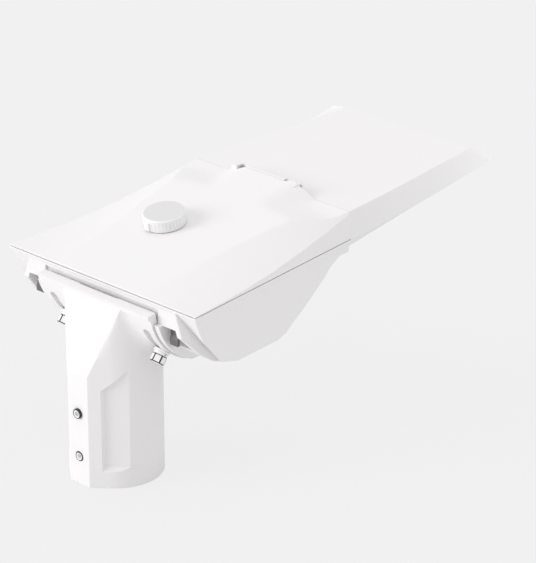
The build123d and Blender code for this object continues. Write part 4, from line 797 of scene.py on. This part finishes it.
# light end, set square to the sloping underside
optic = {"x": 290.0, "seam": 213.0, "start": 188.3, "slope": 0.1515, "board": 12.8, "rows": 4, "columns": 8,
         "rowPitch": 21.0, "columnPitch": 18.0}
boardFixing = {"alongs": (-43.0, 0.0, 43.0), "sides": (-73.0, 73.0), "radius": 1.95, "high": 0.95,
               "shank": 0.95, "long": 3.2, "key": 1.6}
bezelFixing = {"along": 56.8, "sides": (-62.0, 0.0, 62.0), "endSide": 88.4, "depth": 2.0, "radius": 3.5,
               "high": 1.95, "shank": 1.95, "long": 7.9, "key": 2.6}
lean = atan(optic["slope"])
opticAlong = Vector((cos(lean), 0.0, sin(lean)))
opticUp = Vector((-sin(lean), 0.0, cos(lean)))
opticMiddle = Vector((optic["x"], 0.0, optic["start"] + optic["slope"] * (optic["x"] - optic["seam"])))


def onOptic(along, side, depth):
    return opticMiddle + opticAlong * along + opticUp * depth + Vector((0.0, side, 0.0))


opticDown = tuple(-opticUp)
rowPlaces = [(row - (optic["rows"] - 1) / 2) * optic["rowPitch"] for row in range(optic["rows"])]
columnPlaces = [(column - (optic["columns"] - 1) / 2) * optic["columnPitch"]
                for column in range(optic["columns"])]
lensSpots = [(x, y) for x in rowPlaces for y in columnPlaces]

boardScrew = panScrew("boardScrew", boardFixing["radius"], boardFixing["high"], boardFixing["shank"],
                      boardFixing["long"], boardFixing["key"])
boardScrews = setOut(boardScrew, "boardPanScrews", [
    (onOptic(x, y, optic["board"]), opticDown) for x in boardFixing["alongs"] for y in boardFixing["sides"]])
declare(boardScrews, "housing", "board_screws")
frameScrew = panScrew("frameScrew", bezelFixing["radius"], bezelFixing["high"], bezelFixing["shank"],
                      bezelFixing["long"], bezelFixing["key"])
bezelSpots = [(x, y) for x in (-bezelFixing["along"], bezelFixing["along"]) for y in bezelFixing["sides"]]
bezelSpots += [(0.0, -bezelFixing["endSide"]), (0.0, bezelFixing["endSide"])]
bezelScrews = setOut(frameScrew, "bezelScrews", [
    (onOptic(x, y, bezelFixing["depth"]), opticDown) for x, y in bezelSpots])
declare(bezelScrews, "housing", "frame_screws")

# light sources: white cases with a sunk yellow window
package = {"size": 3.45, "high": 0.85, "frame": 0.42, "sunk": 0.12}
case = box("case", (package["size"], package["size"], package["high"]), (0.0, 0.0, package["high"] / 2))
coat(case, "packageBody")
openMesh(case)
pickFaces(case, lambda place, normal: normal.z > 0.9)
bpy.ops.mesh.inset(thickness=package["frame"] * mm, depth=-package["sunk"] * mm)
closeMesh()
paintFaces(case, "phosphor", lambda place, normal: normal.z > 0.9 and place.z < package["high"] - 0.05)
lightCases = setOut(case, "lightCases", [(onOptic(x, y, optic["board"]), opticDown) for x, y in lensSpots])
declare(lightCases, "housing", "led_packages")

# lens sheet: rounded plate with an oval dome over each source
lens = {"long": 81.0, "wide": 141.0, "corner": 4.0, "low": 10.25, "high": 11.45, "radius": 6.4, "rise": 1.45,
        "oval": 0.84, "round": 0.2}
lensThick = lens["high"] - lens["low"]
sheet = box("sheet", (lens["long"], lens["wide"], lensThick), (0.0, 0.0, -lensThick / 2))
openMesh(sheet, "EDGE")
pickEdges(sheet, lambda edge: abs((edge.verts[0].co - edge.verts[1].co).z) > 0.5 * mm)
bpy.ops.mesh.bevel(offset=lens["corner"] * mm, segments=5)
closeMesh()
soften(sheet, lens["round"], 2, 50.0)
deselectAll()
bpy.ops.mesh.primitive_uv_sphere_add(segments=14, ring_count=8, radius=lens["radius"] * mm)
bubble = bpy.context.object
bubble.scale = (1.0, lens["oval"], lens["rise"] / lens["radius"])
bpy.ops.object.transform_apply(location=True, rotation=True, scale=True)
openMesh(bubble)
bpy.ops.mesh.select_all(action="SELECT")
bpy.ops.mesh.bisect(plane_co=(0.0, 0.0, 0.0), plane_no=(0.0, 0.0, 1.0), clear_inner=True, use_fill=True)
closeMesh()
makeActive(bubble)
bpy.ops.object.shade_smooth_by_angle(angle=radians(60))
bubbles = [seat(twin(bubble, "bubbleCopy"), (x, y, 0.0)) for x, y in lensSpots]
bpy.data.objects.remove(bubble)
lensSheet = joined([sheet] + bubbles, "lensSheet")
coat(lensSheet, "lensClear")
seat(lensSheet, onOptic(0.0, 0.0, lens["low"]), opticDown, spin=90.0)
declare(lensSheet, "housing", "lens_plate")
print("light end made")

# camera at the photograph's angle
view = {"place": (-1.75013, -1.8331, 1.30951), "tilt": 66.143, "turn": -46.892, "lens": 202.4, "sensor": 36.0}
camera = bpy.data.objects.new("camera", bpy.data.cameras.new("camera"))
camera.location = view["place"]
camera.rotation_euler = (radians(view["tilt"]), 0.0, radians(view["turn"]))
camera.data.lens = view["lens"]
camera.data.sensor_width = view["sensor"]
camera.data.sensor_fit = "HORIZONTAL"
camera.data.clip_end = 50.0
bpy.context.scene.collection.objects.link(camera)
bpy.context.scene.camera = camera

# floor and backdrop: pale by their own colour, with a faint shadow left on the floor
stage = {"size": 24.0, "below": 0.8, "floorColour": (0.86, 0.86, 0.86), "shown": (0.878, 0.878, 0.878),
         "plainShare": 0.9, "skyColour": (1.0, 1.0, 1.0), "sky": 0.68}
deselectAll()
bpy.ops.mesh.primitive_plane_add(size=stage["size"], location=(0.0, 0.0, -stage["below"] * mm))
floor = bpy.context.object
floor.name = "floor"
ground = Paint("ground")
ground.set("Base Color", shade(stage["floorColour"]))
ground.set("Roughness", 0.9)
plain = ground.node("ShaderNodeEmission", inputs={"Color": shade(stage["shown"]), "Strength": 1.0})
lit = Value(ground, ground.shader.outputs[0])
plainPart = ground.seenRays() * stage["plainShare"]
mixed = ground.node("ShaderNodeMixShader", inputs={0: plainPart, 1: lit, 2: plain})
ground.tree.links.new(mixed.socket, ground.tree.nodes["Material Output"].inputs["Surface"])
floor.data.materials.append(ground.material)

world = bpy.data.worlds.new("studio")
bpy.context.scene.world = world
sky = Paint("studio", world)
soft = sky.tree.nodes["Background"]
soft.inputs["Color"].default_value = shade(stage["skyColour"])
soft.inputs["Strength"].default_value = stage["sky"]
backdrop = sky.node("ShaderNodeBackground", inputs={"Color": shade(stage["shown"]), "Strength": 1.0})
skyShaders = {0: sky.seenRays(), 1: Value(sky, soft.outputs[0]), 2: backdrop}
blended = sky.node("ShaderNodeMixShader", inputs=skyShaders)
sky.tree.links.new(blended.socket, sky.tree.nodes["World Output"].inputs["Surface"])

# large soft lights, as shares of the level at which a colour renders about as it is written:
# the main one from behind on the far side, one from above, and a faint one along the near side
lights = {
    "main": {"from": (-0.76, 0.5, 0.32), "level": 0.43, "spread": 32.0},
    "top": {"from": (0.1, 0.0, 1.0), "level": 0.17, "spread": 70.0},
    "rim": {"from": (0.8, -0.5, 0.3), "level": 0.1, "spread": 60.0},
}
for name, spec in lights.items():
    lamp = bpy.data.objects.new(name, bpy.data.lights.new(name, "SUN"))
    lamp.data.energy = spec["level"] * pi
    lamp.data.angle = radians(spec["spread"])
    lamp.rotation_euler = Vector(spec["from"]).to_track_quat("Z", "Y").to_euler()
    bpy.context.scene.collection.objects.link(lamp)
bpy.context.scene.view_settings.view_transform = "Standard"
print("stage set")
